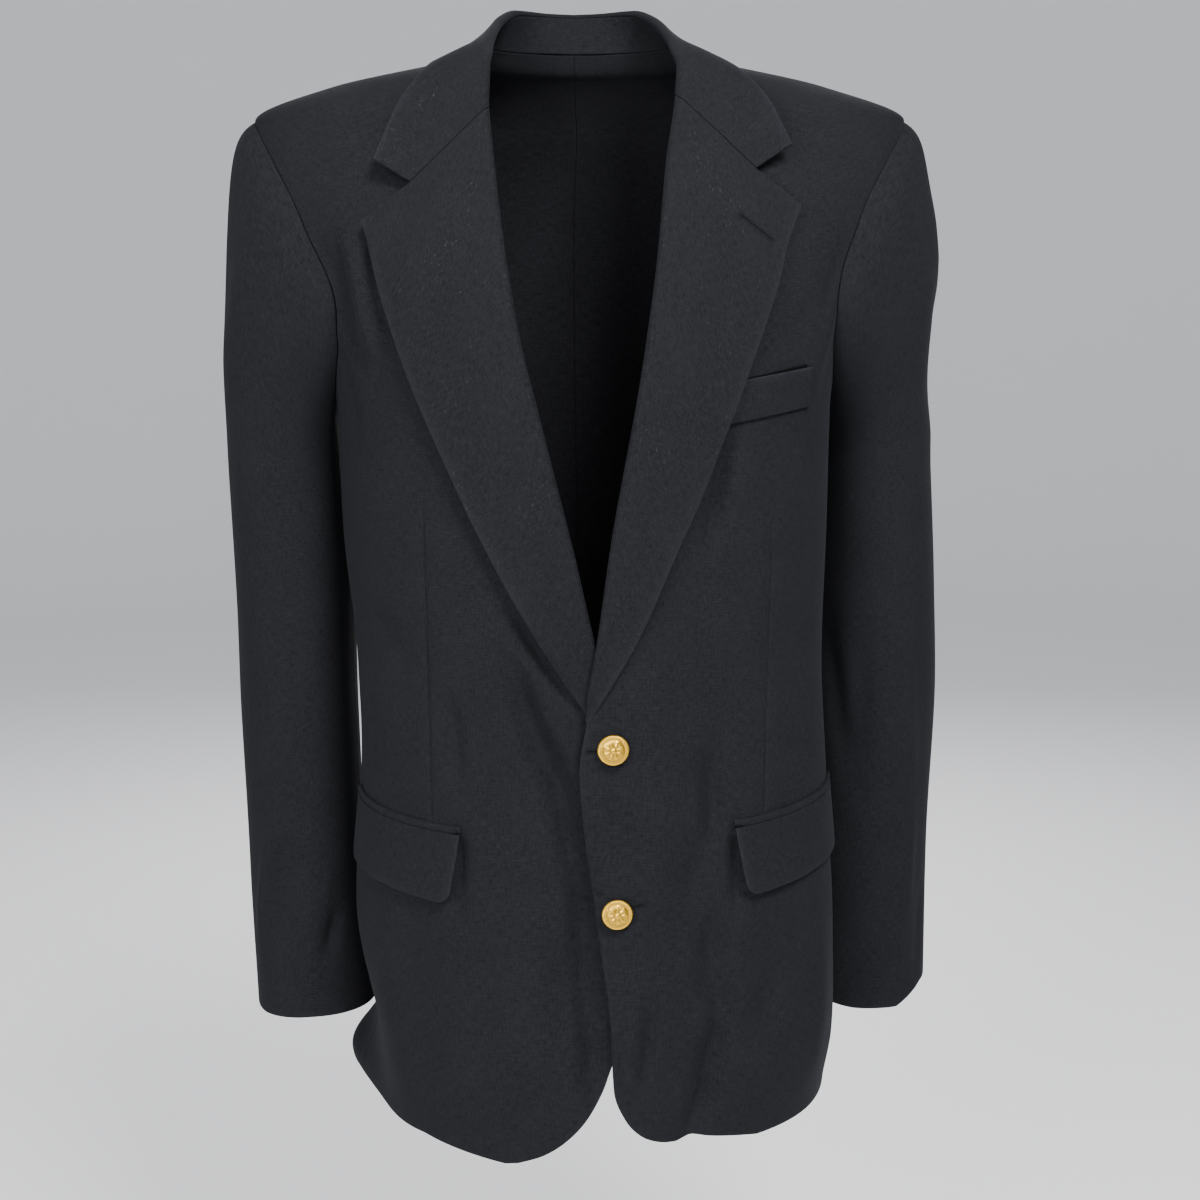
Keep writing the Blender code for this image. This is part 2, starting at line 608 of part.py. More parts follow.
def lapel_middle(side, part, share, turn, drop):
    """Middle of the lapel's cloth: round the roll line by the turns, then flat to its edge."""
    roll, edge = lapel_outline(side, part)
    flat = roll[:, None] + (edge - roll)[:, None] * share[None, :, None]
    top = bent_line(roll[-1], NOTCH_CORNER[side], edge[-1], share)
    flat = flat + (top - flat[-1])[None] * (part[:, None, None] ** 8)
    flat[..., 1] -= drop * part[:, None] ** 8
    radius = roll_radius(part)[:, None]
    turned_out = roll[:, None, 0] - LAPEL_GAP - radius * np.sin(turn)
    climb = GORGE_RISE * (math.pi - turn) * radius
    turned_height = flat[:, :1, 1] + climb * part[:, None] ** 8
    turned_lift = radius * (1 - np.cos(turn)) - WALL / 2
    settle = lapel_settle(side) * ease(part[:, None] / LAPEL_SETTLE_FROM)
    flat_lift = 2 * radius - WALL / 2 + settle * share[None, :]
    out = np.concatenate([turned_out, flat[..., 0]], axis=1)
    height = np.concatenate([turned_height, flat[..., 1]], axis=1)
    lift = np.concatenate([turned_lift, flat_lift], axis=1)
    lift = lift + overlap_lift(side, out, height)
    return torso(angle_at(out, height, side), height, lift)


def build_lapel(side):
    """Lapel: half a turn round the roll line, then flat over the chest to its edge."""
    part = np.concatenate([[0.015, 0.05], np.linspace(0.1, 1.0, 16)])
    share = np.concatenate([np.linspace(0, NOTCH_SHARE, 5), [0.82, 1.0]])
    turn = np.linspace(0, math.pi, 5)[None, :-1]
    add_sheet("lapel_" + SIDE_NAME[side], lapel_middle(side, part, share, turn, GORGE_GAP))


def collar_line(along, first):
    """Points of one of the collar's lines: its table columns first, first + 1, first + 2."""
    reach = np.abs(along)
    out = column(COLLAR, reach, first) * np.sign(along)
    back = column(COLLAR, reach, first + 1)
    height = column(COLLAR, reach, first + 2)
    return np.stack([out, back, height], -1)


def collar_frame(along):
    """Directions at the fold: where the stand's cloth heads, and outward from the stand."""
    step = 0.004
    ahead = collar_line(np.clip(along + step, -1, 1), 1)
    behind = collar_line(np.clip(along - step, -1, 1), 1)
    path = unit(ahead - behind)
    rise = unit(collar_line(along, 1) - collar_line(along, 7) + np.array([0.0, 0.0, 1e-6]))
    lean = ease((np.abs(along) - COLLAR_LEAN_FROM) / (1 - COLLAR_LEAN_FROM))[:, None]
    inward = np.stack([-np.sign(along), 0 * along, 0 * along], -1)
    heading = (1 - lean) * rise + lean * inward
    heading = unit(heading - path * np.sum(heading * path, -1, keepdims=True))
    return heading, unit(np.cross(heading, path))


def signed(place, side):
    """A place given by its distance out, moved to its side."""
    return np.array([place[0] * side, place[1], place[2]])


def collar_middle(along, share, turn):
    """Middle of the fall's cloth: over the fold, then down to its edge, ends at the gorge."""
    heading, outward = collar_frame(along)
    fold = collar_line(along, 1)
    edge = collar_line(along, 4)
    bulge = column(COLLAR, np.abs(along), 10)[:, None, None]
    bend = turn[..., None]
    over = fold[:, None] + heading[:, None] * COLLAR_ROLL_RADIUS * np.sin(bend)
    over = over + outward[:, None] * COLLAR_ROLL_RADIUS * (1 - np.cos(bend))
    start = fold + outward * 2 * COLLAR_ROLL_RADIUS
    flat = start[:, None] + (edge - start)[:, None] * share[None, :, None]
    flat = flat + outward[:, None] * bulge * (4 * share * (1 - share))[None, :, None]
    middle = np.concatenate([over, flat], axis=1)
    for side, end in ((RIGHT, 0), (LEFT, -1)):
        gorge = lapel_middle(side, np.array([1.0]), share, turn, 0.0)[0]
        corner = lapel_middle(side, np.array([1.0]), np.array([NOTCH_SHARE]), turn, 0.0)[0, -1]
        beyond = np.clip((share - NOTCH_SHARE) / (1 - NOTCH_SHARE), 0, 1)[:, None]
        front_end = corner + (signed(COLLAR_TIP[side], side) - corner) * beyond
        gorge[turn.size:] = np.where(beyond > 0, front_end, gorge[turn.size:])
        apart = gorge - middle[end]
        at_fold = apart.copy()
        at_fold[turn.size:] = apart[turn.size]
        late = ease((along * side - STAND_END) / (1 - STAND_END))[:, None, None]
        early = ease((along * side - COLLAR_END_FROM) / (1 - COLLAR_END_FROM))[:, None, None] ** 2
        middle = middle + at_fold * late + (apart - at_fold) * early
    return middle


def build_collar_fall():
    """Fall of the collar: over the fold, then down to its outer edge, ends cut at the gorge."""
    share = np.concatenate([np.linspace(0, NOTCH_SHARE, 5), [0.82, 1.0]])
    turn = np.linspace(0, math.pi, 5)[None, :-1]
    add_sheet("collar_fall", collar_middle(np.linspace(-1, 1, 33), share, turn))


def build_collar_stand():
    """Stand of the collar: from the neck seam up to the fold."""
    along = np.linspace(-STAND_END, STAND_END, 27)
    heading, outward = collar_frame(along)
    top = collar_line(along, 1) - heading * STAND_GAP
    seam = collar_line(along, 7) - outward * 0.5 * WALL
    foot = seam + unit(top - seam) * STAND_FOOT
    share = np.linspace(0, 1, 3)[None, :, None]
    add_sheet("collar_stand", foot[:, None] + (top - foot)[:, None] * share)


def bare_sleeve(side, turn, height):
    """Point of the sleeve below the armhole: upright stack of ellipses."""
    table = SLEEVE[side]
    centre = column(table, height, 1)
    back = column(table, height, 2)
    across = column(table, height, 3)
    deep = column(table, height, 4)
    cosine = np.cos(np.radians(turn))
    sine = np.sin(np.radians(turn))
    power = SLEEVE_ROUNDNESS[side]
    x = side * (centre + across * np.sign(cosine) * np.abs(cosine) ** power)
    y = back - deep * np.sign(sine) * np.abs(sine) ** power
    return np.stack(np.broadcast_arrays(x, y, height), axis=-1)


def sleeve_head(side, turn, part):
    """Point between the armhole (part 0) and the top section (part 1), on a smooth curve."""
    angle, height = armhole(side, turn)
    start = torso(angle * side, height, 0.0)
    normal = torso_outward(angle * side, height)
    low = np.broadcast_to(SLEEVE[side][0, 0], np.shape(turn))
    end = bare_sleeve(side, turn, low)
    length = np.linalg.norm(end - start, axis=-1, keepdims=True)
    out = np.array([side * 1.0, 0.0, 0.0])
    down = np.array([0.0, 0.0, -1.0])
    over = 0.5 + 0.5 * np.cos(np.radians(turn))[..., None]
    spread = HEAD_OUT * (HEAD_OUT_UNDER + (1 - HEAD_OUT_UNDER) * ease(2 * over))
    leave = spread * (normal + out) + (HEAD_DOWN + HEAD_DOWN_TOP * over ** 2) * down
    leave = unit(leave) * length * HEAD_PULL
    arrive = down * length
    part = part[..., None]
    rest = 1 - part
    ratio = part / HEAD_PUFF_AT
    puff = HEAD_PUFF * over ** 3 * ratio * np.exp(1 - ratio) * rest
    return (
        (1 + 2 * part) * rest ** 2 * start + part * rest ** 2 * leave
        + part ** 2 * (3 - 2 * part) * end - part ** 2 * rest * arrive + puff * out
    )


def sleeve(side, turn, along):
    """Point of the sleeve's outer face; along 0 to 1 is the head, 1 to 2 the arm."""
    turn, along = np.broadcast_arrays(np.asarray(turn, float), np.asarray(along, float))
    head = sleeve_head(side, turn, np.clip(along, 0, 1))
    top = SLEEVE[side][0, 0]
    cuff = SLEEVE[side][-1, 0]
    arm = bare_sleeve(side, turn, top + (cuff - top) * np.clip(along - 1, 0, 1))
    rise = np.interp(turn % 360, CUFF_RISE[side][:, 0], CUFF_RISE[side][:, 1])
    arm[..., 2] += rise * ease((along - 2 + CUFF_REACH) / CUFF_REACH)
    return np.where((along < 1)[..., None], head, arm)


def sleeve_outward(side, turn, along):
    """Outward direction of the sleeve, from its slopes round and along."""
    round_step = 1.0
    step = 0.01
    around = sleeve(side, turn + round_step, along) - sleeve(side, turn - round_step, along)
    low = np.clip(along - step, 0, 2)
    high = np.clip(along + step, 0, 2)
    down = sleeve(side, turn, high) - sleeve(side, turn, low)
    return unit(np.cross(around, down)) * side


def sleeve_turns(first, last):
    """Turns of a sleeve piece's columns: its ends, and the armhole's own steps between."""
    steps = np.arange(1, ARMHOLE_STEPS + 1) / ARMHOLE_STEPS
    forward = SIDE_SEAM_FRONT_TURN * steps
    backward = (SIDE_SEAM_BACK_TURN - 360) * steps
    below = np.linspace(SIDE_SEAM_FRONT_TURN, SIDE_SEAM_BACK_TURN, 6)[1:-1]
    every = np.concatenate([backward, [0.0], forward, below, backward + 360])
    inside = every[(every > first + 3) & (every < last - 3)]
    return np.concatenate([[first + SEAM_TURN_GAP], np.sort(inside), [last - SEAM_TURN_GAP]])


def build_sleeve_piece(side, name, first, last):
    """One of the sleeve's two pieces, between two turns in degrees."""
    along = np.concatenate([[0.0, 0.06], np.linspace(0.15, 1.0, 7), np.linspace(1, 2, 13)[1:]])
    turn, along = np.meshgrid(sleeve_turns(first, last), along)
    point = sleeve(side, turn, along)
    outward = sleeve_outward(side, turn, along)
    folds = crease(turn % 360, point[..., 2], SLEEVE_FOLDS[side], SLEEVE_RADIUS)
    fade = ease(along / 0.5)
    outer = point + outward * (folds * fade)[..., None]
    add_wall(name + "_" + SIDE_NAME[side], outer, outer - outward * WALL)


def build_pocket(side):
    """Hip pocket: a narrow jet over a flap with round lower corners."""
    share = np.linspace(0, 1, 11)
    first = POCKET_INNER_ANGLE[side]
    angle = first + (POCKET_OUTER_ANGLE - first) * share
    line = POCKET_INNER_HEIGHT + (POCKET_OUTER_HEIGHT - POCKET_INNER_HEIGHT) * share
    jet_part = np.linspace(0, 1, 3)[:, None]
    level = line[None, :] + SEAM_GAP + (JET_HEIGHT - SEAM_GAP) * jet_part
    name = "pocket_jet_" + SIDE_NAME[side]
    place = np.repeat(angle[None, :] * side, 3, axis=0)
    rounded = POCKET_LIFT + WALL * (JET_EDGE + (1 - JET_EDGE) * np.sin(math.pi * jet_part))
    add_wall(name, torso(place, level, rounded), torso(place, level, POCKET_LIFT))
    part = np.array([0, 0.2, 0.4, 0.6, 0.78, 0.9, 0.97, 1.0])[:, None]
    slant = FLAP_SLANT * part * (1 - share)[None, :]
    low_round = np.sqrt(np.clip(1 - ((part - 1 + FLAP_CORNER) / FLAP_CORNER) ** 2, 0, 1))
    pull = np.where(part > 1 - FLAP_CORNER, 1 - low_round, 0.0) * FLAP_DEPTH * FLAP_CORNER
    ends = np.degrees(pull / FLAP_RADIUS) * (1 - 2 * share)[None, :]
    place = (angle[None, :] + slant + ends) * side
    level = line[None, :] - FLAP_DEPTH * part
    curl = FLAP_CURL * part ** 2 * (1 - share)[None, :] ** 3
    stand_off = POCKET_LIFT + FLAP_STAND_OFF * np.sin(math.pi * 0.5 * part) + curl
    outer = torso(place, level, stand_off + WALL)
    add_wall("pocket_flap_" + SIDE_NAME[side], outer, torso(place, level, stand_off))


def build_breast_welt():
    """Breast welt: a slanted band on the wearer's left chest, partly under the lapel."""
    share = np.linspace(0, 1, 9)[None, :]
    out = WELT_INNER + (WELT_OUTER - WELT_INNER) * share
    top = WELT_INNER_TOP + (WELT_OUTER_TOP - WELT_INNER_TOP) * share
    part = np.linspace(0, 1, 5)[:, None]
    level = top - WELT_DEPTH * part
    out = np.repeat(out, 5, axis=0)
    angle = angle_at(out, level, LEFT)
    lift = POCKET_LIFT + overlap_lift(LEFT, out, level)
    add_wall("breast_welt", torso(angle, level, lift + WALL), torso(angle, level, lift))


def build_button(name, out, height):
    """Domed button with a raised rim, turned round its own axis, on a shank."""
    angle = angle_at(out, height, LEFT)
    seat = torso(angle, height, overlap_lift(LEFT, out, height) + BUTTON_CLEAR)
    axis = torso_outward(angle, height)
    face = BUTTON_FACE * (BUTTON_RADIUS, BUTTON_RISE) + (0.0, SHANK_LENGTH)
    shank = np.array([(SHANK_RADIUS, SHANK_LENGTH), (SHANK_RADIUS, 0.0), (0.0, 0.0)])
    profile = np.concatenate([face, shank])
    right = unit(np.cross(axis, np.array([0.0, 0.0, 1.0])))
    up = np.cross(right, axis)
    turn = np.linspace(0, 2 * math.pi, BUTTON_SEGMENTS, endpoint=False)
    spoke = np.cos(turn)[:, None] * right + np.sin(turn)[:, None] * up
    work = bmesh.new()
    rings = []
    for radius, rise in profile:
        centre = seat + axis * rise
        if radius == 0.0:
            rings.append([work.verts.new(centre)])
        else:
            rings.append([work.verts.new(centre + radius * way) for way in spoke])
    for upper, lower in zip(rings[:-1], rings[1:]):
        for k in range(BUTTON_SEGMENTS):
            following = (k + 1) % BUTTON_SEGMENTS
            corners = [upper[k % len(upper)], upper[following % len(upper)]]
            corners += [lower[following % len(lower)], lower[k % len(lower)]]
            work.faces.new(list(dict.fromkeys(corners)))
    bmesh.ops.recalc_face_normals(work, faces=work.faces)
    mesh = bpy.data.meshes.new(name)
    work.to_mesh(mesh)
    work.free()
    add_object(name, mesh, GOLD, GOLD_ROUGHNESS, 1.0)


def main():
    clear_scene()
    for side in SIDES:
        build_front(side)
        build_back(side)
        build_side(side)
        build_lapel(side)
        build_sleeve_piece(side, "top_sleeve", UNDER_SLEEVE_TO - 360, UNDER_SLEEVE_FROM)
        build_sleeve_piece(side, "under_sleeve", UNDER_SLEEVE_FROM, UNDER_SLEEVE_TO)
        build_pocket(side)
    build_collar_fall()
    build_collar_stand()
    build_breast_welt()
    for name, (out, height) in BUTTONS.items():
        build_button(name, out, height)


main()
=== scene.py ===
"""Looks of the blazer: cloth panels, gold buttons, buttonholes, stage, lights and camera.

Metres, +Z up, front towards -Y, wearer's left towards +X, origin at the neck hole. Each
cloth piece is a closed wall worked out on the coat's form: the body from rings of a squared
ellipse, the sleeves from a stack of ellipses. Places on the body are an angle round it, 0 at
the centre front and +90 at the wearer's left, and a height.
"""
import math

import bpy
import numpy as np
from mathutils import Matrix

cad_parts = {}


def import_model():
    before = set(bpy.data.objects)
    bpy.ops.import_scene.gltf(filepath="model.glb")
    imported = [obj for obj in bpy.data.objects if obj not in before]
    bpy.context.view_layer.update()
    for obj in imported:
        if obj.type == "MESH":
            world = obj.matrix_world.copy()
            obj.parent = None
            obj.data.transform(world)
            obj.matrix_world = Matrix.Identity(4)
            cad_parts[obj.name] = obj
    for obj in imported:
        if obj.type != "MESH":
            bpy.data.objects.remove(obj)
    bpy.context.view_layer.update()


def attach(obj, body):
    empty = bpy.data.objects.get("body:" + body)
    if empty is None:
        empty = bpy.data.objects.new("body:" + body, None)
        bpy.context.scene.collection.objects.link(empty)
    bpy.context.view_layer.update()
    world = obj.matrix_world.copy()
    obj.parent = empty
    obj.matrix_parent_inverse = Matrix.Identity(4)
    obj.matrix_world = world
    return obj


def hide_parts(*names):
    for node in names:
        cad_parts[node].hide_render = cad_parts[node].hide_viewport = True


WALL = 0.002
SEAM_GAP = 0.00036
LEFT = 1
RIGHT = -1
SIDE_NAME = {LEFT: "left", RIGHT: "right"}
# Keep a length that is divided by, and a direction, from being nothing at all.
SHORTEST = 1e-12
NEVER_ZERO = 1e-6

# Rings of the torso, from the neck hole down to the hem.
# Columns: height, half_width, front_depth, back_depth, squareness, sway towards +X.
TORSO = np.array([
    (0.000, 0.0718, 0.034, 0.058, 2.0, 0.000),
    (-0.0125, 0.0870, 0.039, 0.062, 2.0, 0.000),
    (-0.0172, 0.1110, 0.047, 0.068, 2.0, 0.001),
    (-0.032, 0.1800, 0.060, 0.080, 2.0, 0.001),
    (-0.055, 0.2355, 0.074, 0.093, 2.0, 0.003),
    (-0.085, 0.2350, 0.091, 0.106, 2.1, 0.002),
    (-0.130, 0.2280, 0.113, 0.116, 2.2, 0.001),
    (-0.190, 0.2000, 0.129, 0.120, 2.4, 0.001),
    (-0.260, 0.1818, 0.137, 0.120, 2.4, 0.001),
    (-0.350, 0.1805, 0.136, 0.111, 2.4, 0.001),
    (-0.450, 0.1775, 0.133, 0.102, 2.4, 0.002),
    (-0.550, 0.1800, 0.134, 0.108, 2.4, 0.005),
    (-0.650, 0.1870, 0.137, 0.118, 2.4, 0.005),
    (-0.740, 0.1920, 0.140, 0.125, 2.3, 0.005),
    (-0.790, 0.1870, 0.140, 0.124, 2.1, 0.004),
])
HEM = -0.788
SHOULDER_TIP = -0.055
BODY_RADIUS = 0.15
HEM_DROP_TOP = -0.60
HEM_DROP_REACH = 0.19

# How far the hem hangs below its level. Columns: angle in degrees, drop.
HEM_DROP = np.array([
    (-180, 0.006), (-130, 0.000), (-108, -0.010), (-80, -0.004), (-45, -0.002), (-22, 0.009),
    (6, -0.002), (18, -0.008), (36, 0.003), (60, 0.003), (110, 0.003), (180, 0.006),
])

# Creases of the body. Columns: angle and height at the upper end, angle and height at the
# lower end, half width of the crease, depth (negative for a trough).
BODY_FOLDS = np.array([
    (-84, -0.330, -84, -0.600, 0.035, -0.0035),
    (-17, -0.640, -19, -0.770, 0.018, 0.0035),
    (-46, -0.600, -40, -0.780, 0.022, -0.0040),
    (16, -0.665, 12, -0.760, 0.012, -0.0035),
    (42, -0.640, 28, -0.740, 0.016, -0.0040),
    (60, -0.610, 52, -0.780, 0.020, 0.0040),
    (52, -0.150, 55, -0.270, 0.013, 0.0045),
    (-43, -0.110, -50, -0.240, 0.009, 0.0050),
    (-52, -0.110, -58, -0.250, 0.010, -0.0035),
    (-60, -0.380, -44, -0.450, 0.014, -0.0025),
    (62, -0.400, 46, -0.440, 0.014, -0.0025),
    (132, -0.160, 140, -0.330, 0.018, 0.0050),
    (-130, -0.150, -138, -0.340, 0.018, 0.0050),
    (118, -0.400, 150, -0.450, 0.016, -0.0040),
    (-116, -0.390, -152, -0.460, 0.016, -0.0040),
    (150, -0.560, 158, -0.770, 0.026, 0.0050),
    (-146, -0.580, -156, -0.770, 0.024, 0.0050),
    (126, -0.600, 122, -0.780, 0.022, -0.0040),
    # small ones
    (-45.5, -0.115, -55, -0.235, 0.0060, -0.0030),
    (-48.0, -0.140, -59, -0.215, 0.0076, -0.0030),
    (-38.4, -0.125, -41.9, -0.190, 0.0030, -0.0036),
    (-41.5, -0.175, -41.4, -0.225, 0.0032, -0.0028),
    (-42.3, -0.135, -48.8, -0.215, 0.0034, 0.0024),
    (-40.3, -0.195, -52.7, -0.255, 0.0052, -0.0024),
    (-64, -0.190, -62, -0.300, 0.0080, -0.0024),
    (50, -0.120, 53, -0.250, 0.0070, -0.0024),
    (-9.4, -0.465, -3.2, -0.610, 0.0058, -0.0130),
    (-3.6, -0.555, -2.8, -0.700, 0.0054, -0.0140),
    (-3.1, -0.630, -1.1, -0.775, 0.0054, -0.0140),
    (-7.2, -0.610, -6.5, -0.725, 0.0060, -0.0060),
    (-17.7, -0.375, -1.3, -0.475, 0.0052, -0.0085),
    (-17.2, -0.410, -7.0, -0.540, 0.0078, -0.0130),
    (-31.7, -0.440, -30.5, -0.530, 0.0060, -0.0050),
    (-25, -0.600, -23, -0.740, 0.0160, -0.0045),
    (27.6, -0.255, 20.3, -0.365, 0.0070, -0.0110),
    (21.8, -0.470, 21.4, -0.590, 0.0075, -0.0080),
    (18.3, -0.540, 14.9, -0.635, 0.0085, -0.0050),
    (21.2, -0.590, 19.6, -0.705, 0.0100, -0.0100),
    (23.3, -0.655, 20.6, -0.745, 0.0070, -0.0080),
    (21.1, -0.690, 17.7, -0.805, 0.0085, -0.0130),
    (7.6, -0.650, 5.0, -0.757, 0.0032, -0.0065),
    (3.7, -0.662, 1.9, -0.757, 0.0038, 0.0040),
    (8.3, -0.490, 6.6, -0.640, 0.0110, 0.0050),
    (-0.6, -0.498, -0.1, -0.540, 0.0009, -0.0012),
    (1.9, -0.612, 3.1, -0.655, 0.0016, -0.0014),
    (44, -0.620, 40, -0.760, 0.0120, 0.0026),
    (100, -0.330, 112, -0.480, 0.0100, -0.0022),
    (-96, -0.340, -110, -0.500, 0.0100, -0.0022),
    (140, -0.420, 172, -0.446, 0.0080, -0.0022),
    (-138, -0.415, -170, -0.455, 0.0090, -0.0024),
    (150, -0.468, 176, -0.480, 0.0070, 0.0014),
    (146, -0.140, 150, -0.280, 0.0100, -0.0018),
    (-144, -0.150, -150, -0.300, 0.0110, -0.0020),
    (165, -0.600, 170, -0.780, 0.0160, -0.0022),
    (-168, -0.580, -172, -0.770, 0.0150, 0.0018),
    (-118, -0.560, -122, -0.740, 0.0110, 0.0020),
    (112, -0.560, 114, -0.760, 0.0110, 0.0018),
])
# Hollows of the body beside each flap's inner edge, same columns; the flap spans them.
FLAP_HOLLOWS = np.array([
    (-29.9, -0.535, -31.0, -0.625, 0.0046, -0.0085),
    (27.1, -0.535, 27.4, -0.625, 0.0046, -0.0085),
])
ALL_BODY_FOLDS = np.concatenate([BODY_FOLDS, FLAP_HOLLOWS])
# A crease fades in over its line's ends: how steep, as a share of its length.
CREASE_FADE = 1.15

# Where a hanging sleeve presses the skirt in, and where the hem kicks out below it.
# Columns: angle, height, reach in degrees, reach in height, depth.
SLEEVE_PRESS = np.array([
    (-76, -0.750, 24, 0.070, 0.018),
    (-106, -0.712, 22, 0.042, 0.0195),
    (-106, -0.780, 20, 0.022, -0.017),
    (104, -0.705, 24, 0.050, 0.010),
    (78, -0.772, 22, 0.045, 0.005),
])

# Inner edge of each front: cut-away corner at the hem, front edge, roll line, neckline.
# Columns: height, distance out from the middle towards the piece's own side.
FRONT_EDGE = {
    LEFT: np.array([
        (-0.788, 0.054), (-0.785, 0.043), (-0.777, 0.029), (-0.762, 0.017), (-0.740, 0.009),
        (-0.690, 0.007), (-0.640, 0.001), (-0.590, -0.005), (-0.550, -0.010),
        (-0.505, -0.013), (-0.470, -0.008), (-0.411, 0.003), (-0.339, 0.0145),
        (-0.235, 0.0345), (-0.171, 0.0455), (-0.092, 0.057), (-0.048, 0.0665),
        (-0.022, 0.0695), (0.000, 0.0720),
    ]),
    RIGHT: np.array([
        (-0.788, 0.060), (-0.784, 0.043), (-0.775, 0.026), (-0.762, 0.012),
        (-0.744, -0.001), (-0.725, -0.008), (-0.690, -0.018), (-0.620, -0.026),
        (-0.550, -0.027), (-0.500, -0.022), (-0.470, -0.0135), (-0.413, 0.005),
        (-0.350, 0.0195), (-0.262, 0.0405), (-0.203, 0.054), (-0.125, 0.0645),
        (-0.048, 0.0705), (-0.022, 0.0714), (0.000, 0.0720),
    ]),
}
HEM_CORNER = 0.048
BELOW_ARM = -0.272
BREAK_HEIGHT = {LEFT: -0.470, RIGHT: -0.500}
GORGE_HEIGHT = {LEFT: -0.0505, RIGHT: -0.0585}
GORGE_RISE = 1.0

# Outer edge of each lapel, from the break up to the point. Columns: height, distance out.
LAPEL_EDGE = {
    LEFT: np.array([
        (-0.470, -0.007), (-0.414, 0.025), (-0.356, 0.051), (-0.309, 0.073),
        (-0.237, 0.101), (-0.172, 0.125), (-0.148, 0.132), (-0.122, 0.143),
    ]),
    RIGHT: np.array([
        (-0.500, -0.020), (-0.463, 0.008), (-0.427, 0.031), (-0.347, 0.073),
        (-0.292, 0.097), (-0.228, 0.122), (-0.188, 0.135), (-0.131, 0.150),
    ]),
}
NOTCH_SHARE = 0.64
NOTCH_CORNER = {LEFT: (0.113, -0.098), RIGHT: (0.118, -0.107)}
LAPEL_POINT_HEIGHT = {LEFT: -0.122, RIGHT: -0.131}
LAPEL_EDGE_LIFT = {LEFT: 0.0065, RIGHT: 0.0085}
ROLL_RADIUS_BREAK = 0.0016
ROLL_RADIUS = 0.0030
LAPEL_GAP = 0.0004
ROLL_SOFT_FROM = 0.35
LAPEL_SETTLE_FROM = 0.3
# How late the lapel's rows bend towards the notch: a power of the part of its height.
NOTCH_LATE = 8

# The overlapping front stands off the form near the middle. Columns: height, lift.
OVERLAP_LIFT = np.array([
    (-0.790, 0.0034), (-0.600, 0.0034), (-0.530, 0.0045), (-0.470, 0.0070),
    (-0.410, 0.0078), (-0.340, 0.0060), (-0.240, 0.0025), (-0.120, 0.0000), (0.0, 0.0),
])
OVERLAP_FULL = 0.020
OVERLAP_NONE = 0.085
# The right front sinks in beside the overlapping edge. Columns: height, depth.
UNDERLAP_DIP = np.array([
    (-0.790, 0.0), (-0.740, 0.0025), (-0.690, 0.0045), (-0.620, 0.0050), (-0.540, 0.0050),
    (-0.480, 0.0030), (-0.430, 0.0010), (-0.380, 0.0), (0.0, 0.0),
])
UNDERLAP_ASIDE = 0.006
UNDERLAP_WIDTH = 0.014

# The collar from the centre back (0) to its front end (1): the fold on top, the outer edge
# of the fall, and the neck seam. Columns: along, then out, back and height of each, bulge.
COLLAR = np.array([
    (0.00, 0.0000, 0.0620, 0.0270, 0.0000, 0.0790, -0.0225, 0.0000, 0.0580, 0.0000, 0.002),
    (0.15, 0.0230, 0.0565, 0.0270, 0.0410, 0.0755, -0.0215, 0.0300, 0.0527, 0.0000, 0.001),
    (0.30, 0.0415, 0.0400, 0.0250, 0.0760, 0.0600, -0.0180, 0.0520, 0.0401, 0.0000, -0.0015),
    (0.42, 0.0515, 0.0220, 0.0180, 0.0950, 0.0320, -0.0145, 0.0655, 0.0241, 0.0000, -0.0036),
    (0.54, 0.0582, 0.0030, 0.0090, 0.1015, 0.0040, -0.0142, 0.0717, 0.0050, 0.0000, -0.0028),
    (0.64, 0.0620, -0.0150, 0.0000, 0.1035, -0.0225, -0.0165, 0.0708, -0.0130, -0.0022, -0.001),
    (0.74, 0.0650, -0.0310, -0.0095, 0.1105, -0.0480, -0.0260, 0.0700, -0.0270, -0.0075, 0.003),
    (0.86, 0.0665, -0.0520, -0.0240, 0.1260, -0.0720, -0.0505, 0.0685, -0.0480, -0.0225, 0.005),
    (1.00, 0.0660, -0.0685, -0.0446, 0.1420, -0.0885, -0.0830, 0.0670, -0.0680, -0.0465, 0.004),
])
# Tip of the collar's front end: out, back, height.
COLLAR_TIP = {LEFT: (0.1400, -0.0880, -0.0790), RIGHT: (0.1445, -0.0910, -0.0885)}
COLLAR_ROLL_RADIUS = 0.0026
# First columns of the collar's fold, outer edge and neck seam, and the bulge's column.
FOLD, FALL_EDGE, NECK_SEAM, BULGE = 1, 4, 7, 10
STAND_END = 0.86
COLLAR_LEAN_FROM = 0.82
COLLAR_END_FROM = 0.62

# Armhole: heights of its top and bottom, how far it cuts forward and back, in degrees.
ARMHOLE_BOTTOM = -0.255
ARMHOLE_FORWARD = {LEFT: 36.3, RIGHT: 33.4}
ARMHOLE_BACKWARD = 33.0
ARMHOLE_POWER = 1.3
SIDE_SEAM_FRONT_TURN = 150.0
SIDE_SEAM_BACK_TURN = 238.0
SIDE_SEAM_FRONT_LOW = 88.0
SIDE_SEAM_BACK_LOW = 126.0
SIDE_SEAM_REACH = 0.25
ARMHOLE_EASE = 2.6

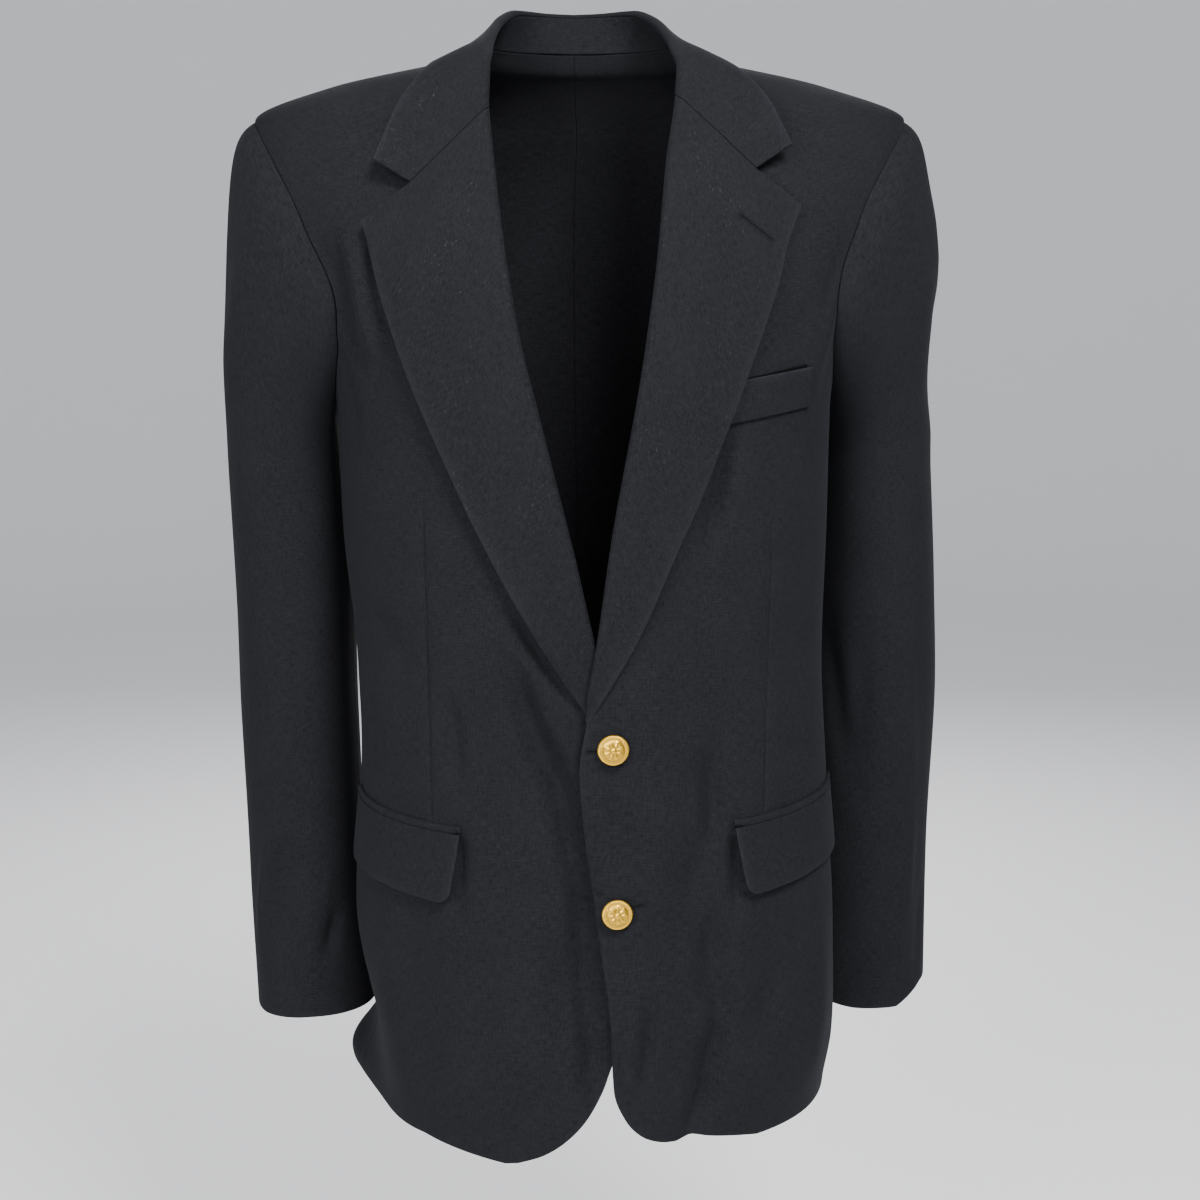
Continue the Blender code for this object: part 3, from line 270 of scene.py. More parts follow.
# Sleeve sections below the armhole. Columns: height, centre out, centre back, half width
# across, half depth front to back.
SLEEVE = {
    LEFT: np.array([
        (-0.300, 0.2265, 0.030, 0.0420, 0.069),
        (-0.400, 0.2315, 0.042, 0.0470, 0.063),
        (-0.500, 0.2340, 0.053, 0.0515, 0.057),
        (-0.620, 0.2350, 0.062, 0.0495, 0.053),
        (-0.755, 0.2370, 0.064, 0.0490, 0.048),
    ]),
    RIGHT: np.array([
        (-0.300, 0.2238, 0.028, 0.0412, 0.070),
        (-0.400, 0.2218, 0.042, 0.0443, 0.063),
        (-0.500, 0.2235, 0.053, 0.0450, 0.059),
        (-0.620, 0.2235, 0.063, 0.0455, 0.055),
        (-0.748, 0.2195, 0.065, 0.0485, 0.048),
    ]),
}
# Creases of the sleeves. Columns: turn and height at the upper end, turn and height at the
# lower end, half width, depth. Turn 0 is outermost, 90 the front, 180 against the body.
SLEEVE_FOLDS = {
    LEFT: np.array([
        (60, -0.120, 30, -0.260, 0.018, 0.0030),
        (16, -0.080, 20, -0.200, 0.020, 0.0040),
        (24, -0.170, 28, -0.290, 0.020, -0.0050),
        (112, -0.400, 104, -0.600, 0.010, -0.0030),
        (78, -0.400, 62, -0.740, 0.012, 0.0030),
        (300, -0.400, 250, -0.480, 0.014, -0.0045),
        (270, -0.200, 290, -0.360, 0.018, 0.0035),
        (84, -0.400, 60, -0.580, 0.0070, 0.0024),
        (58, -0.560, 70, -0.730, 0.0070, 0.0024),
        (160, -0.390, 105, -0.600, 0.0120, -0.0044),
        (96, -0.130, 70, -0.230, 0.0090, -0.0014),
        (40, -0.640, 46, -0.745, 0.0080, -0.0018),
        (262, -0.420, 232, -0.470, 0.0080, -0.0030),
        (286, -0.452, 246, -0.505, 0.0075, 0.0022),
        (300, -0.470, 262, -0.540, 0.0080, -0.0026),
        (250, -0.580, 268, -0.720, 0.0080, 0.0020),
        (320, -0.150, 300, -0.300, 0.0100, -0.0018),
    ]),
    RIGHT: np.array([
        (58, -0.110, 34, -0.280, 0.018, 0.0030),
        (22, -0.060, 28, -0.230, 0.022, -0.0030),
        (78, -0.540, 34, -0.710, 0.010, 0.0035),
        (122, -0.640, 98, -0.710, 0.009, -0.0040),
        (300, -0.420, 246, -0.500, 0.014, -0.0045),
        (268, -0.190, 288, -0.350, 0.018, 0.0035),
        (78, -0.555, 38, -0.700, 0.0060, 0.0026),
        (124, -0.650, 100, -0.700, 0.0060, -0.0030),
        (88, -0.580, 66, -0.720, 0.0100, -0.0034),
        (118, -0.610, 100, -0.660, 0.0060, 0.0012),
        (92, -0.150, 66, -0.270, 0.0090, -0.0012),
        (258, -0.430, 230, -0.490, 0.0080, -0.0030),
        (288, -0.465, 244, -0.520, 0.0075, 0.0022),
        (304, -0.485, 260, -0.560, 0.0080, -0.0026),
        (246, -0.590, 264, -0.710, 0.0080, 0.0020),
        (322, -0.160, 302, -0.310, 0.0100, -0.0018),
    ]),
}
SLEEVE_ROUNDNESS = {LEFT: 0.90, RIGHT: 0.80}
# How far the cuff's edge rises at a turn. Columns: turn in degrees, rise.
CUFF_RISE = {
    LEFT: np.array([
        (0, 0.014), (22, 0.016), (36, 0.015), (52, 0.009), (72, 0.000), (110, 0.000),
        (150, 0.003), (180, 0.005), (270, 0.003), (330, 0.010), (360, 0.014),
    ]),
    RIGHT: np.array([
        (0, 0.005), (40, 0.003), (80, 0.003), (120, 0.005), (180, 0.007), (270, 0.005),
        (360, 0.005),
    ]),
}
CUFF_REACH = 0.25
SLEEVE_STEP = 0.01
SLEEVE_FOLDS_FROM = 0.5
SLEEVE_RADIUS = 0.055
# How the head leaves the armhole: share of outward and how much of it stays under the arm,
# least and added share of down, pull; then the full crown just below its seam.
HEAD_OUT = 0.55
HEAD_OUT_UNDER = 0.06
HEAD_DOWN = 0.15
HEAD_DOWN_TOP = 1.35
HEAD_PULL = 0.65
HEAD_PUFF = 0.0055
HEAD_PUFF_AT = 0.10
UNDER_SLEEVE_FROM = 168.4
UNDER_SLEEVE_TO = 278.0

# Hip pocket, in angle round the body and height.
POCKET_INNER_ANGLE = {LEFT: 26.8, RIGHT: 30.1}
POCKET_OUTER_ANGLE = 80.0
POCKET_INNER_HEIGHT = -0.552
POCKET_OUTER_HEIGHT = -0.544
FLAP_DEPTH = 0.049
FLAP_SLANT = 2.2
FLAP_CORNER = 0.16
JET_HEIGHT = 0.0055
POCKET_LIFT = 0.0006
FLAP_STAND_OFF = 0.0016
FLAP_CURL = 0.0034
JET_EDGE = 0.75
FLAP_RADIUS = 0.16

# Breast welt: left and right ends out from the middle, the heights of its top edge there.
WELT_INNER = 0.064
WELT_OUTER = 0.151
WELT_INNER_TOP = -0.243
WELT_OUTER_TOP = -0.229
WELT_DEPTH = 0.028

BUTTON_RADIUS = 0.011
BUTTON_RISE = 0.0036
SHANK_RADIUS = 0.0028
SHANK_LENGTH = 0.0030
BUTTON_CLEAR = 0.0003
# Half section of a button's head, as shares of its radius and its rise: dome, rim, back.
BUTTON_FACE = np.array([
    (0.00, 1.00), (0.30, 0.96), (0.58, 0.82), (0.78, 0.62), (0.83, 0.66), (0.93, 0.62),
    (1.00, 0.34), (0.96, 0.08), (0.80, 0.00),
])
BUTTONS = {"button_upper": (0.010, -0.487), "button_lower": (0.012, -0.606)}

# Waist dart in each front: its distance out at the upper and lower end, and their heights.
DART_OUT = {LEFT: (0.126, 0.121), RIGHT: (0.117, 0.117)}
DART_TOP = {LEFT: -0.317, RIGHT: -0.305}
DART_BOTTOM = -0.543
DART_HALF_WIDTH = 0.0009
DART_DEPTH = 0.0012
DART_PULL_WIDTH = 0.0060
DART_PULL_DEPTH = 0.0009
# Its share of the front's width, the height over which it wanders there, its fading end.
DART_SHARE = 0.52
DART_WANDER = 0.16
DART_FADE = 0.05

# Fine rows beside an edge or a sewn line, and how a wall's edges are rounded off.
CLOSE_ROWS = np.array([0.0003, 0.0007, 0.0012, 0.0020, 0.0032])
FREE_EDGE = (0.0017, 0.80)
SEWN_EDGE = (0.0011, 0.62)
GORGE_EDGE = (0.0007, 0.45)
GORGE_SEAM = 0.0004
CLOTH_STEP = 0.0032
# How far the painted highlight along free edges reaches.
EDGE_HIGHLIGHT_REACH = 0.0022

# Buttonholes. Columns: distance out and height at the eye, then at the other end.
LAPEL_HOLE = (0.1005, -0.1300, 0.1205, -0.1455)
UPPER_HOLE = (-0.0065, -0.4885, 0.0180, -0.4890)
LOWER_HOLE = (0.0070, -0.6050, 0.0310, -0.6000)
STITCH_PITCH = 0.00056
STITCH_HALF = 0.0009
STITCH_THICK = 0.00018

# Button relief: petals of the rosette, beads round it, and their heights.
PETALS = 8
BEADS = 34
TWISTS = 46
PETAL_RISE = 0.00058
BEAD_RISE = 0.00042
RIM_RISE = 0.00012
# The rest of the relief, in shares of the button's radius: where the petals start and their
# length, then middle and width of the second row, the beads and the twisted rim, and the boss.
PETAL_FROM = 0.20
PETAL_LENGTH = 0.48
SECOND_ROW = (0.50, 0.12)
BEAD_ROW = (0.775, 0.030)
RIM_ROW = (0.905, 0.040)
BOSS = 0.17
# Band of radii where the hollows of the relief turn brown.
HOLLOW_BROWN_BAND = (0.15, 0.84)
LOWEST_RELIEF = -0.25
FACE_RINGS = 84
FACE_SPOKES = 272

# Looks, in linear colours and noises.
WOOL_LIGHT = (0.0131, 0.0134, 0.0156)
WOOL_DARK = (0.0050, 0.0051, 0.0060)
LINT = (0.048, 0.049, 0.052)
THREAD = (0.0110, 0.0112, 0.0122)
GOLD = (0.76, 0.45, 0.045)
GOLD_HOLLOW_BROWN = (0.08, 0.038, 0.005)
GOLD_ROUGHNESS = 0.16
# Painted shade inside the buttonhole slits and the breast pocket's mouth, darker than the cloth.
PAINTED_SLIT_SHADE_DEEP = (0.0020, 0.0020, 0.0022)
PAINTED_SLIT_SHADE = (0.0050, 0.0051, 0.0055)
PALE = (0.80, 0.80, 0.81)
# Wool of each part: how much lint, and how strong the painted highlight along its free edges is.
WOOLS = {
    "body_wool": (0.15, 0.25),
    "lapel_wool": (0.92, 0.45),
    "sleeve_wool": (0.10, 0.25),
    "pocket_wool": (0.15, 0.35),
}
SLUB = 1.3
# Noises of the weave: waves a metre across and along it, and detail.
LONG_YARNS = (1000.0, 190.0)
CROSS_YARNS = (200.0, 950.0)
GRAIN = (1500.0, 1500.0)
CLOUDS = (28.0, 22.0, 3.0)
CLOUD_SHARE = 0.35
CROSSING_SHARE = 0.35
# Fibres of lint: waves a metre of their curls and of the gaps between them, and thickness.
LINT_FIBRES = ((190.0, 330.0, 0.0060), (340.0, 520.0, 0.0095))
LINT_SHORT = 0.66
LINT_SPECKS = (1300.0, 1100.0, 0.0)
LINT_SPECKS_OVER = 0.84
LINT_PATCHES = (17.0, 15.0, 3.0)
LINT_BARE = 0.72
LINT_SPREAD = 0.30
LINT_PATCH_EDGE = 3.5

# Camera, from the photograph: its place, tilt down, turn, roll and focal length in pixels.
FRAME_PIXELS = 1200
FOCAL_PIXELS = 1642
SENSOR_MM = 36.0
CAMERA_PLACE = (-0.07425719, -1.23161667, -0.18970737)
CAMERA_PITCH = 10.0
CAMERA_YAW = 4.0
CAMERA_ROLL = 0.5
FLOOR = -1.30

# Sizes that space the fine rows: rough width or length of each piece, and counts of rows.
CORNER_ROWS = 26
SKIRT_ROWS = 140
ARMHOLE_ROWS = 64
SEAM_ROWS = 18
JET_ROWS = 14
FLAP_CORNER_ROWS = 12
SHOULDER_SLOPE = 0.19
FRONT_WIDTH = 0.20
BACK_WIDTH = 0.17
SIDE_WIDTH = 0.125
SIDE_CLIMB = 0.06
SIDE_TOP_SQUARE = 8
SIDE_TOP_LATE = 3
LAPEL_START = 0.005
LAPEL_LENGTH = 0.40
LAPEL_WIDTH = 0.080
# Towards the break the lapel thins out and its turn tightens: over a part, to shares.
BREAK_TAPER = 0.05
BREAK_THIN = 0.15
BREAK_TURN = 0.2
ROLL_STEPS = 13
COLLAR_LENGTH = 0.36
COLLAR_DEPTH = 0.060
STAND_LENGTH = 0.28
STAND_HEIGHT = 0.022
HEAD_LENGTH = 0.22
ARM_LENGTH = 0.455
POCKET_LENGTH = 0.122
WELT_GAPE = 0.0018
WELT_GAPE_PLACE = (0.82, 0.2)
SEAM_CLOSE = 0.0003
SEAM_CLOSE_REACH = 0.02
MOUTH_GAPE = 0.0020
MOUTH_THICK = 0.0004
EYE_RADIUS = 0.0010
SLIT_HALF = 0.00012
SLIT_TOP = 0.00022
SLIT_BOTTOM = -0.0006
PLACE_ROUNDS = 8
PLACE_GUESS = 0.6

STAGE_RADIUS = 5.0
STAGE_BEND = 2.5
STAGE_HEIGHT = 5.0
COAT_MIDDLE = (0.0, 0.0, -0.40)
# Soft boxes: name, place, width and height, power in watts.
SOFTBOXES = (
    ("key", (0.60, -1.60, 1.35), (0.7, 0.7), 100.0),
    ("fill_left", (-1.50, -2.10, 0.50), (1.2, 1.4), 74.0),
    ("front", (-0.10, -2.60, 0.05), (0.9, 0.9), 24.0),
    ("rear", (0.3, 2.40, 0.90), (2.0, 1.6), 60.0),
)
WORLD_STRENGTH = 0.62


def smooth_curve(at, knots, values):
    """Cubic through the knots, with slopes that never overshoot them."""
    order = np.argsort(knots)
    knots = np.asarray(knots, float)[order]
    values = np.asarray(values, float)[order]
    at = np.clip(np.asarray(at, float), knots[0], knots[-1])
    step = np.diff(knots)
    rise = np.diff(values) / step
    slope = np.zeros_like(values)
    slope[0] = rise[0]
    slope[-1] = rise[-1]
    same_way = rise[1:] * rise[:-1] > 0
    first = 2 * step[1:] + step[:-1]
    second = step[1:] + 2 * step[:-1]
    with np.errstate(divide="ignore", invalid="ignore"):
        mean = (first + second) / (first / rise[:-1] + second / rise[1:])
    slope[1:-1] = np.where(same_way, mean, 0.0)
    low = np.clip(np.searchsorted(knots, at, side="right") - 1, 0, len(step) - 1)
    part = (at - knots[low]) / step[low]
    rest = 1 - part
    return (
        (1 + 2 * part) * rest ** 2 * values[low]
        + part * rest ** 2 * step[low] * slope[low]
        + part ** 2 * (3 - 2 * part) * values[low + 1]
        - part ** 2 * rest * step[low] * slope[low + 1]
    )


def column(table, at, index):
    """One column of a table, read smoothly at values of its first column."""
    return smooth_curve(at, table[:, 0], table[:, index])


def ease(value):
    """Smooth step from 0 at 0 to 1 at 1."""
    value = np.clip(value, 0.0, 1.0)
    return value * value * (3 - 2 * value)


def unit(vectors):
    """Vectors scaled to length one."""
    size = np.linalg.norm(vectors, axis=-1, keepdims=True)
    return vectors / np.maximum(size, SHORTEST)


def bell(value, place):
    """Bell curve of height 1: place gives its middle and how far out it falls to 1 / e."""
    middle, spread = place
    return np.exp(-((value - middle) / spread) ** 2)


def crease(across, along, folds, radius):
    """Sum of creases: each is a bell across its line that fades towards the line's ends."""
    total = np.zeros(np.broadcast(across, along).shape)
    for start, top, end, bottom, width, depth in folds:
        part = (top - along) / (top - bottom)
        line = start + (end - start) * part
        away = np.radians((across - line + 180) % 360 - 180) * radius
        fade = ease(CREASE_FADE - np.abs(2 * CREASE_FADE * part - CREASE_FADE))
        total = total + depth * np.exp(-(away / width) ** 2) * fade
    return total


def bare_torso(angle, height):
    """Point of the torso's ring at an angle in degrees: a squared ellipse, x and y apart."""
    half_width = column(TORSO, height, 1)
    front = column(TORSO, height, 2)
    back = column(TORSO, height, 3)
    power = 2 / column(TORSO, height, 4)
    sway = column(TORSO, height, 5)
    sine = np.sin(np.radians(angle))
    cosine = np.cos(np.radians(angle))
    depth = np.where(cosine > 0, front, back)
    x = sway + half_width * np.sign(sine) * np.abs(sine) ** power
    y = -depth * np.sign(cosine) * np.abs(cosine) ** power
    return np.stack(np.broadcast_arrays(x, y, height), axis=-1)


def torso_outward(angle, height):
    """Outward direction of the torso, from its slopes round and down."""
    turn = 0.4
    drop = 0.0015
    around = bare_torso(angle + turn, height) - bare_torso(angle - turn, height)
    upper = np.minimum(height + drop, 0.0)
    down = bare_torso(angle, upper - 2 * drop) - bare_torso(angle, upper)
    return unit(np.cross(down, around))


def torso(angle, height, lift=0.0):
    """Point of the coat's body, lift metres out from the form, with creases and hem."""
    angle, height = np.broadcast_arrays(np.asarray(angle, float), np.asarray(height, float))
    wrapped = (angle + 180) % 360 - 180
    point = bare_torso(angle, height)
    out = lift + crease(angle, height, ALL_BODY_FOLDS, BODY_RADIUS)
    point = point + torso_outward(angle, height) * np.asarray(out)[..., None]
    for middle, level, spread, reach, depth in SLEEVE_PRESS:
        away = ((wrapped - middle + 180) % 360 - 180) / spread
        press = depth * np.exp(-away ** 2 - ((height - level) / reach) ** 2)
        point[..., 0] -= np.sign(middle) * press
    drop = np.interp(wrapped, HEM_DROP[:, 0], HEM_DROP[:, 1])
    point[..., 2] -= drop * ease((HEM_DROP_TOP - height) / HEM_DROP_REACH)
    return point


def angle_at(out, height, side):
    """Angle of the front point that lies a distance out from the middle, seen from ahead."""
    half_width = column(TORSO, height, 1)
    power = column(TORSO, height, 4) / 2
    away = np.asarray(out) * side - column(TORSO, height, 5)
    share = np.clip(np.abs(away) / half_width, 0.0, 1.0)
    return np.sign(away) * np.degrees(np.arcsin(share ** power))


def overlap_lift(side, out, height):
    """How far the overlapping left front stands off the form, and the right one sinks in."""
    if side == RIGHT:
        edge = UNDERLAP_ASIDE - column(FRONT_EDGE[LEFT], height, 1)
        away = (out - edge) / UNDERLAP_WIDTH
        return -column(UNDERLAP_DIP, height, 1) * np.exp(-away ** 2)
    near = 1 - ease((out - OVERLAP_FULL) / (OVERLAP_NONE - OVERLAP_FULL))
    return column(OVERLAP_LIFT, height, 1) * near


def armhole(side, turn):
    """Angle round the body and height of the armhole at a turn in degrees."""
    middle = (SHOULDER_TIP + ARMHOLE_BOTTOM) / 2
    reach = (SHOULDER_TIP - ARMHOLE_BOTTOM) / 2
    sine = np.sin(np.radians(turn))
    cosine = np.cos(np.radians(turn))
    cut = np.where(sine > 0, ARMHOLE_FORWARD[side], ARMHOLE_BACKWARD)
    angle = 90 - cut * np.sign(sine) * np.abs(sine) ** ARMHOLE_POWER
    return angle, middle + reach * cosine


def armhole_angle(side, height, forward):
    """Angle of the armhole's front or back edge at a height."""
    middle = (SHOULDER_TIP + ARMHOLE_BOTTOM) / 2
    reach = (SHOULDER_TIP - ARMHOLE_BOTTOM) / 2
    turn = np.degrees(np.arccos(np.clip((height - middle) / reach, -1.0, 1.0)))
    return armhole(side, turn if forward else 360 - turn)[0]


def side_seam(side, height, forward):
    """Angle of the seam between the side body and the front or the back."""
    turn = SIDE_SEAM_FRONT_TURN if forward else SIDE_SEAM_BACK_TURN
    top_angle, top_height = armhole(side, turn)
    low_angle = SIDE_SEAM_FRONT_LOW if forward else SIDE_SEAM_BACK_LOW
    share = ease((top_height - height) / SIDE_SEAM_REACH)
    return top_angle + (low_angle - top_angle) * share


def seam_degrees(height):
    """Half a seam's gap as an angle at this height."""
    return np.degrees(0.5 * SEAM_GAP / column(TORSO, height, 1))


def shoulder_degrees(height, forward):
    """Half the shoulder seam's gap as an angle, on the front's or the back's ring."""
    depth = column(TORSO, height, 2 if forward else 3)
    share = 0.5 * SEAM_GAP / depth
    return np.degrees(np.arcsin(share ** (column(TORSO, height, 4) / 2)))


def outer_angle(side, heights, forward):
    """Outer edge of a front or back: side seam, then armhole, then shoulder seam."""
    seam_top = armhole(side, SIDE_SEAM_FRONT_TURN if forward else SIDE_SEAM_BACK_TURN)[1]
    beside_arm = (heights > seam_top - WALL) & (heights < SHOULDER_TIP)
    edge = np.where(heights < SHOULDER_TIP, armhole_angle(side, heights, forward), 90.0)
    edge = np.where(heights <= seam_top, side_seam(side, heights, forward), edge)
    gap = seam_degrees(heights) * np.where(beside_arm, ARMHOLE_EASE, 1.0)
    gap = np.where(heights < SHOULDER_TIP, gap, shoulder_degrees(heights, forward))
    return edge - gap if forward else edge + gap


def lapel_outline(side, part):
    """Roll line and outer edge of the lapel, as distance out and height, at parts 0 to 1."""
    roll_height = BREAK_HEIGHT[side] + (GORGE_HEIGHT[side] - BREAK_HEIGHT[side]) * part
    roll_out = column(FRONT_EDGE[side], roll_height, 1)
    edge_height = BREAK_HEIGHT[side] + (LAPEL_POINT_HEIGHT[side] - BREAK_HEIGHT[side]) * part
    edge_out = column(LAPEL_EDGE[side], edge_height, 1)
    return np.stack([roll_out, roll_height], -1), np.stack([edge_out, edge_height], -1)


def bent_line(start, corner, end, share):
    """Two straight runs that meet at a corner, which lies at the notch's share."""
    knots = [0.0, NOTCH_SHARE, 1.0]
    rows = np.array([start, corner, end], float)
    return np.stack([np.interp(share, knots, rows[:, k]) for k in range(rows.shape[1])], -1)


def lapel_settle(side):
    """How much further the lapel's outer edge stands off than its turn does."""
    return LAPEL_EDGE_LIFT[side] - 2 * ROLL_RADIUS + WALL / 2


def lapel_middle(side, part, share, turn, drop):
    """Middle of the lapel's cloth: round the roll line by the turns, then flat to its edge."""
    roll, edge = lapel_outline(side, part)
    flat = roll[:, None] + (edge - roll)[:, None] * share[None, :, None]
    top = bent_line(roll[-1], NOTCH_CORNER[side], edge[-1], share)
    flat = flat + (top - flat[-1])[None] * part[:, None, None] ** NOTCH_LATE
    flat[..., 1] -= drop * part[:, None] ** NOTCH_LATE
    radius = roll_radius(part)[:, None]
    turned_out = roll[:, None, 0] - LAPEL_GAP - radius * np.sin(turn)
    climb = GORGE_RISE * (math.pi - turn) * radius
    turned_height = flat[:, :1, 1] + climb * part[:, None] ** NOTCH_LATE
    turned_lift = radius * (1 - np.cos(turn)) - WALL / 2
    settle = lapel_settle(side) * ease(part[:, None] / LAPEL_SETTLE_FROM)
    flat_lift = 2 * radius - WALL / 2 + settle * share[None, :]
    out = np.concatenate([turned_out, flat[..., 0]], axis=1)
    height = np.concatenate([turned_height, flat[..., 1]], axis=1)
    lift = np.concatenate([turned_lift, flat_lift], axis=1)
    lift = lift + overlap_lift(side, out, height)
    return torso(angle_at(out, height, side), height, lift)


def collar_line(along, first):
    """Points of one of the collar's lines: its table columns first, first + 1, first + 2."""
    reach = np.abs(along)
    out = column(COLLAR, reach, first) * np.sign(along)
    back = column(COLLAR, reach, first + 1)
    height = column(COLLAR, reach, first + 2)
    return np.stack([out, back, height], -1)


def collar_frame(along):
    """Directions at the fold: where the stand's cloth heads, and outward from the stand."""
    step = 0.004
    ahead = collar_line(np.clip(along + step, -1, 1), FOLD)
    behind = collar_line(np.clip(along - step, -1, 1), FOLD)
    path = unit(ahead - behind)
    stand = collar_line(along, FOLD) - collar_line(along, NECK_SEAM)
    rise = unit(stand + np.array([0.0, 0.0, NEVER_ZERO]))
    lean = ease((np.abs(along) - COLLAR_LEAN_FROM) / (1 - COLLAR_LEAN_FROM))[:, None]
    inward = np.stack([-np.sign(along), 0 * along, 0 * along], -1)
    heading = (1 - lean) * rise + lean * inward
    heading = unit(heading - path * np.sum(heading * path, -1, keepdims=True))
    return heading, unit(np.cross(heading, path))


def signed(place, side):
    """A place given by its distance out, moved to its side."""
    return np.array([place[0] * side, place[1], place[2]])


def collar_middle(along, share, turn):
    """Middle of the fall's cloth: over the fold, then down to its edge, ends at the gorge."""
    heading, outward = collar_frame(along)
    fold = collar_line(along, FOLD)
    edge = collar_line(along, FALL_EDGE)
    bulge = column(COLLAR, np.abs(along), BULGE)[:, None, None]
    bend = turn[..., None]
    over = fold[:, None] + heading[:, None] * COLLAR_ROLL_RADIUS * np.sin(bend)
    over = over + outward[:, None] * COLLAR_ROLL_RADIUS * (1 - np.cos(bend))
    start = fold + outward * 2 * COLLAR_ROLL_RADIUS
    flat = start[:, None] + (edge - start)[:, None] * share[None, :, None]
    flat = flat + outward[:, None] * bulge * (4 * share * (1 - share))[None, :, None]
    middle = np.concatenate([over, flat], axis=1)
    for side, end in ((RIGHT, 0), (LEFT, -1)):
        gorge = lapel_middle(side, np.array([1.0]), share, turn, 0.0)[0]
        corner = lapel_middle(side, np.array([1.0]), np.array([NOTCH_SHARE]), turn, 0.0)[0, -1]
        beyond = np.clip((share - NOTCH_SHARE) / (1 - NOTCH_SHARE), 0, 1)[:, None]
        front_end = corner + (signed(COLLAR_TIP[side], side) - corner) * beyond
        gorge[turn.size:] = np.where(beyond > 0, front_end, gorge[turn.size:])
        apart = gorge - middle[end]
        at_fold = apart.copy()
        at_fold[turn.size:] = apart[turn.size]
        late = ease((along * side - STAND_END) / (1 - STAND_END))[:, None, None]
        early = ease((along * side - COLLAR_END_FROM) / (1 - COLLAR_END_FROM))[:, None, None] ** 2
        middle = middle + at_fold * late + (apart - at_fold) * early
    return middle


def bare_sleeve(side, turn, height):
    """Point of the sleeve below the armhole: upright stack of ellipses."""
    table = SLEEVE[side]
    centre = column(table, height, 1)
    back = column(table, height, 2)
    across = column(table, height, 3)
    deep = column(table, height, 4)
    cosine = np.cos(np.radians(turn))
    sine = np.sin(np.radians(turn))
    power = SLEEVE_ROUNDNESS[side]
    x = side * (centre + across * np.sign(cosine) * np.abs(cosine) ** power)
    y = back - deep * np.sign(sine) * np.abs(sine) ** power
    return np.stack(np.broadcast_arrays(x, y, height), axis=-1)


def sleeve_head(side, turn, part):
    """Point between the armhole (part 0) and the top section (part 1), on a smooth curve."""
    angle, height = armhole(side, turn)
    start = torso(angle * side, height, 0.0)
    normal = torso_outward(angle * side, height)
    low = np.broadcast_to(SLEEVE[side][0, 0], np.shape(turn))
    end = bare_sleeve(side, turn, low)
    length = np.linalg.norm(end - start, axis=-1, keepdims=True)
    out = np.array([side * 1.0, 0.0, 0.0])
    down = np.array([0.0, 0.0, -1.0])
    over = 0.5 + 0.5 * np.cos(np.radians(turn))[..., None]
    spread = HEAD_OUT * (HEAD_OUT_UNDER + (1 - HEAD_OUT_UNDER) * ease(2 * over))
    leave = spread * (normal + out) + (HEAD_DOWN + HEAD_DOWN_TOP * over ** 2) * down
    leave = unit(leave) * length * HEAD_PULL
    arrive = down * length
    part = part[..., None]
    rest = 1 - part
    ratio = part / HEAD_PUFF_AT
    puff = HEAD_PUFF * over ** 3 * ratio * np.exp(1 - ratio) * rest
    return (
        (1 + 2 * part) * rest ** 2 * start + part * rest ** 2 * leave
        + part ** 2 * (3 - 2 * part) * end - part ** 2 * rest * arrive + puff * out
    )


def sleeve(side, turn, along):
    """Point of the sleeve's outer face; along 0 to 1 is the head, 1 to 2 the arm."""
    turn, along = np.broadcast_arrays(np.asarray(turn, float), np.asarray(along, float))
    head = sleeve_head(side, turn, np.clip(along, 0, 1))
    top = SLEEVE[side][0, 0]
    cuff = SLEEVE[side][-1, 0]
    arm = bare_sleeve(side, turn, top + (cuff - top) * np.clip(along - 1, 0, 1))
    rise = np.interp(turn % 360, CUFF_RISE[side][:, 0], CUFF_RISE[side][:, 1])
    arm[..., 2] += rise * ease((along - 2 + CUFF_REACH) / CUFF_REACH)
    return np.where((along < 1)[..., None], head, arm)


def sleeve_outward(side, turn, along):
    """Outward direction of the sleeve, from its slopes round and along."""
    round_step = 1.0
    around = sleeve(side, turn + round_step, along) - sleeve(side, turn - round_step, along)
    low = np.clip(along - SLEEVE_STEP, 0, 2)
    high = np.clip(along + SLEEVE_STEP, 0, 2)
    down = sleeve(side, turn, high) - sleeve(side, turn, low)
    return unit(np.cross(around, down)) * side


def close_places(length, step, lines=()):
    """Places from 0 to 1 along a length: even steps, closer at both ends and at each line."""
    even = np.linspace(0, length, max(int(round(length / step)), 4) + 1)
    marks = np.array([0.0, length, *lines])
    beside = np.concatenate([marks, (marks[:, None] + CLOSE_ROWS).ravel()])
    beside = np.unique(np.concatenate([beside, (marks[:, None] - CLOSE_ROWS).ravel()]))
    beside = beside[(beside >= 0) & (beside <= length)]
    apart = np.min(np.abs(even[:, None] - beside[None, :]), axis=1)
    return np.sort(np.concatenate([even[apart > 0.6 * step], beside])) / length


def border_distances(grid):
    """Length along the cloth from each point to the first and last row and column."""
    down = np.linalg.norm(np.diff(grid, axis=0), axis=-1)
    across = np.linalg.norm(np.diff(grid, axis=1), axis=-1)
    from_top = np.concatenate([np.zeros((1, grid.shape[1])), np.cumsum(down, axis=0)])
    from_left = np.concatenate([np.zeros((grid.shape[0], 1)), np.cumsum(across, axis=1)], axis=1)
    return from_top, from_top[-1:] - from_top, from_left, from_left[:, -1:] - from_left


def edge_sink(distances, edges):
    """How far each face draws in at the edges: a quarter round of the edge's radius."""
    sink = np.zeros(distances[0].shape)
    for away, (radius, share) in zip(distances, edges):
        near = np.clip(1 - away / radius, 0, 1)
        sink = np.maximum(sink, 0.5 * WALL * share * (1 - np.sqrt(1 - near ** 2)))
    return sink


def smooth_mesh(name, points, faces):
    """Smoothly shaded mesh of points and faces."""
    mesh = bpy.data.meshes.new(name)
    mesh.from_pydata(points.reshape(-1, 3).tolist(), [], faces)
    mesh.shade_smooth()
    return mesh


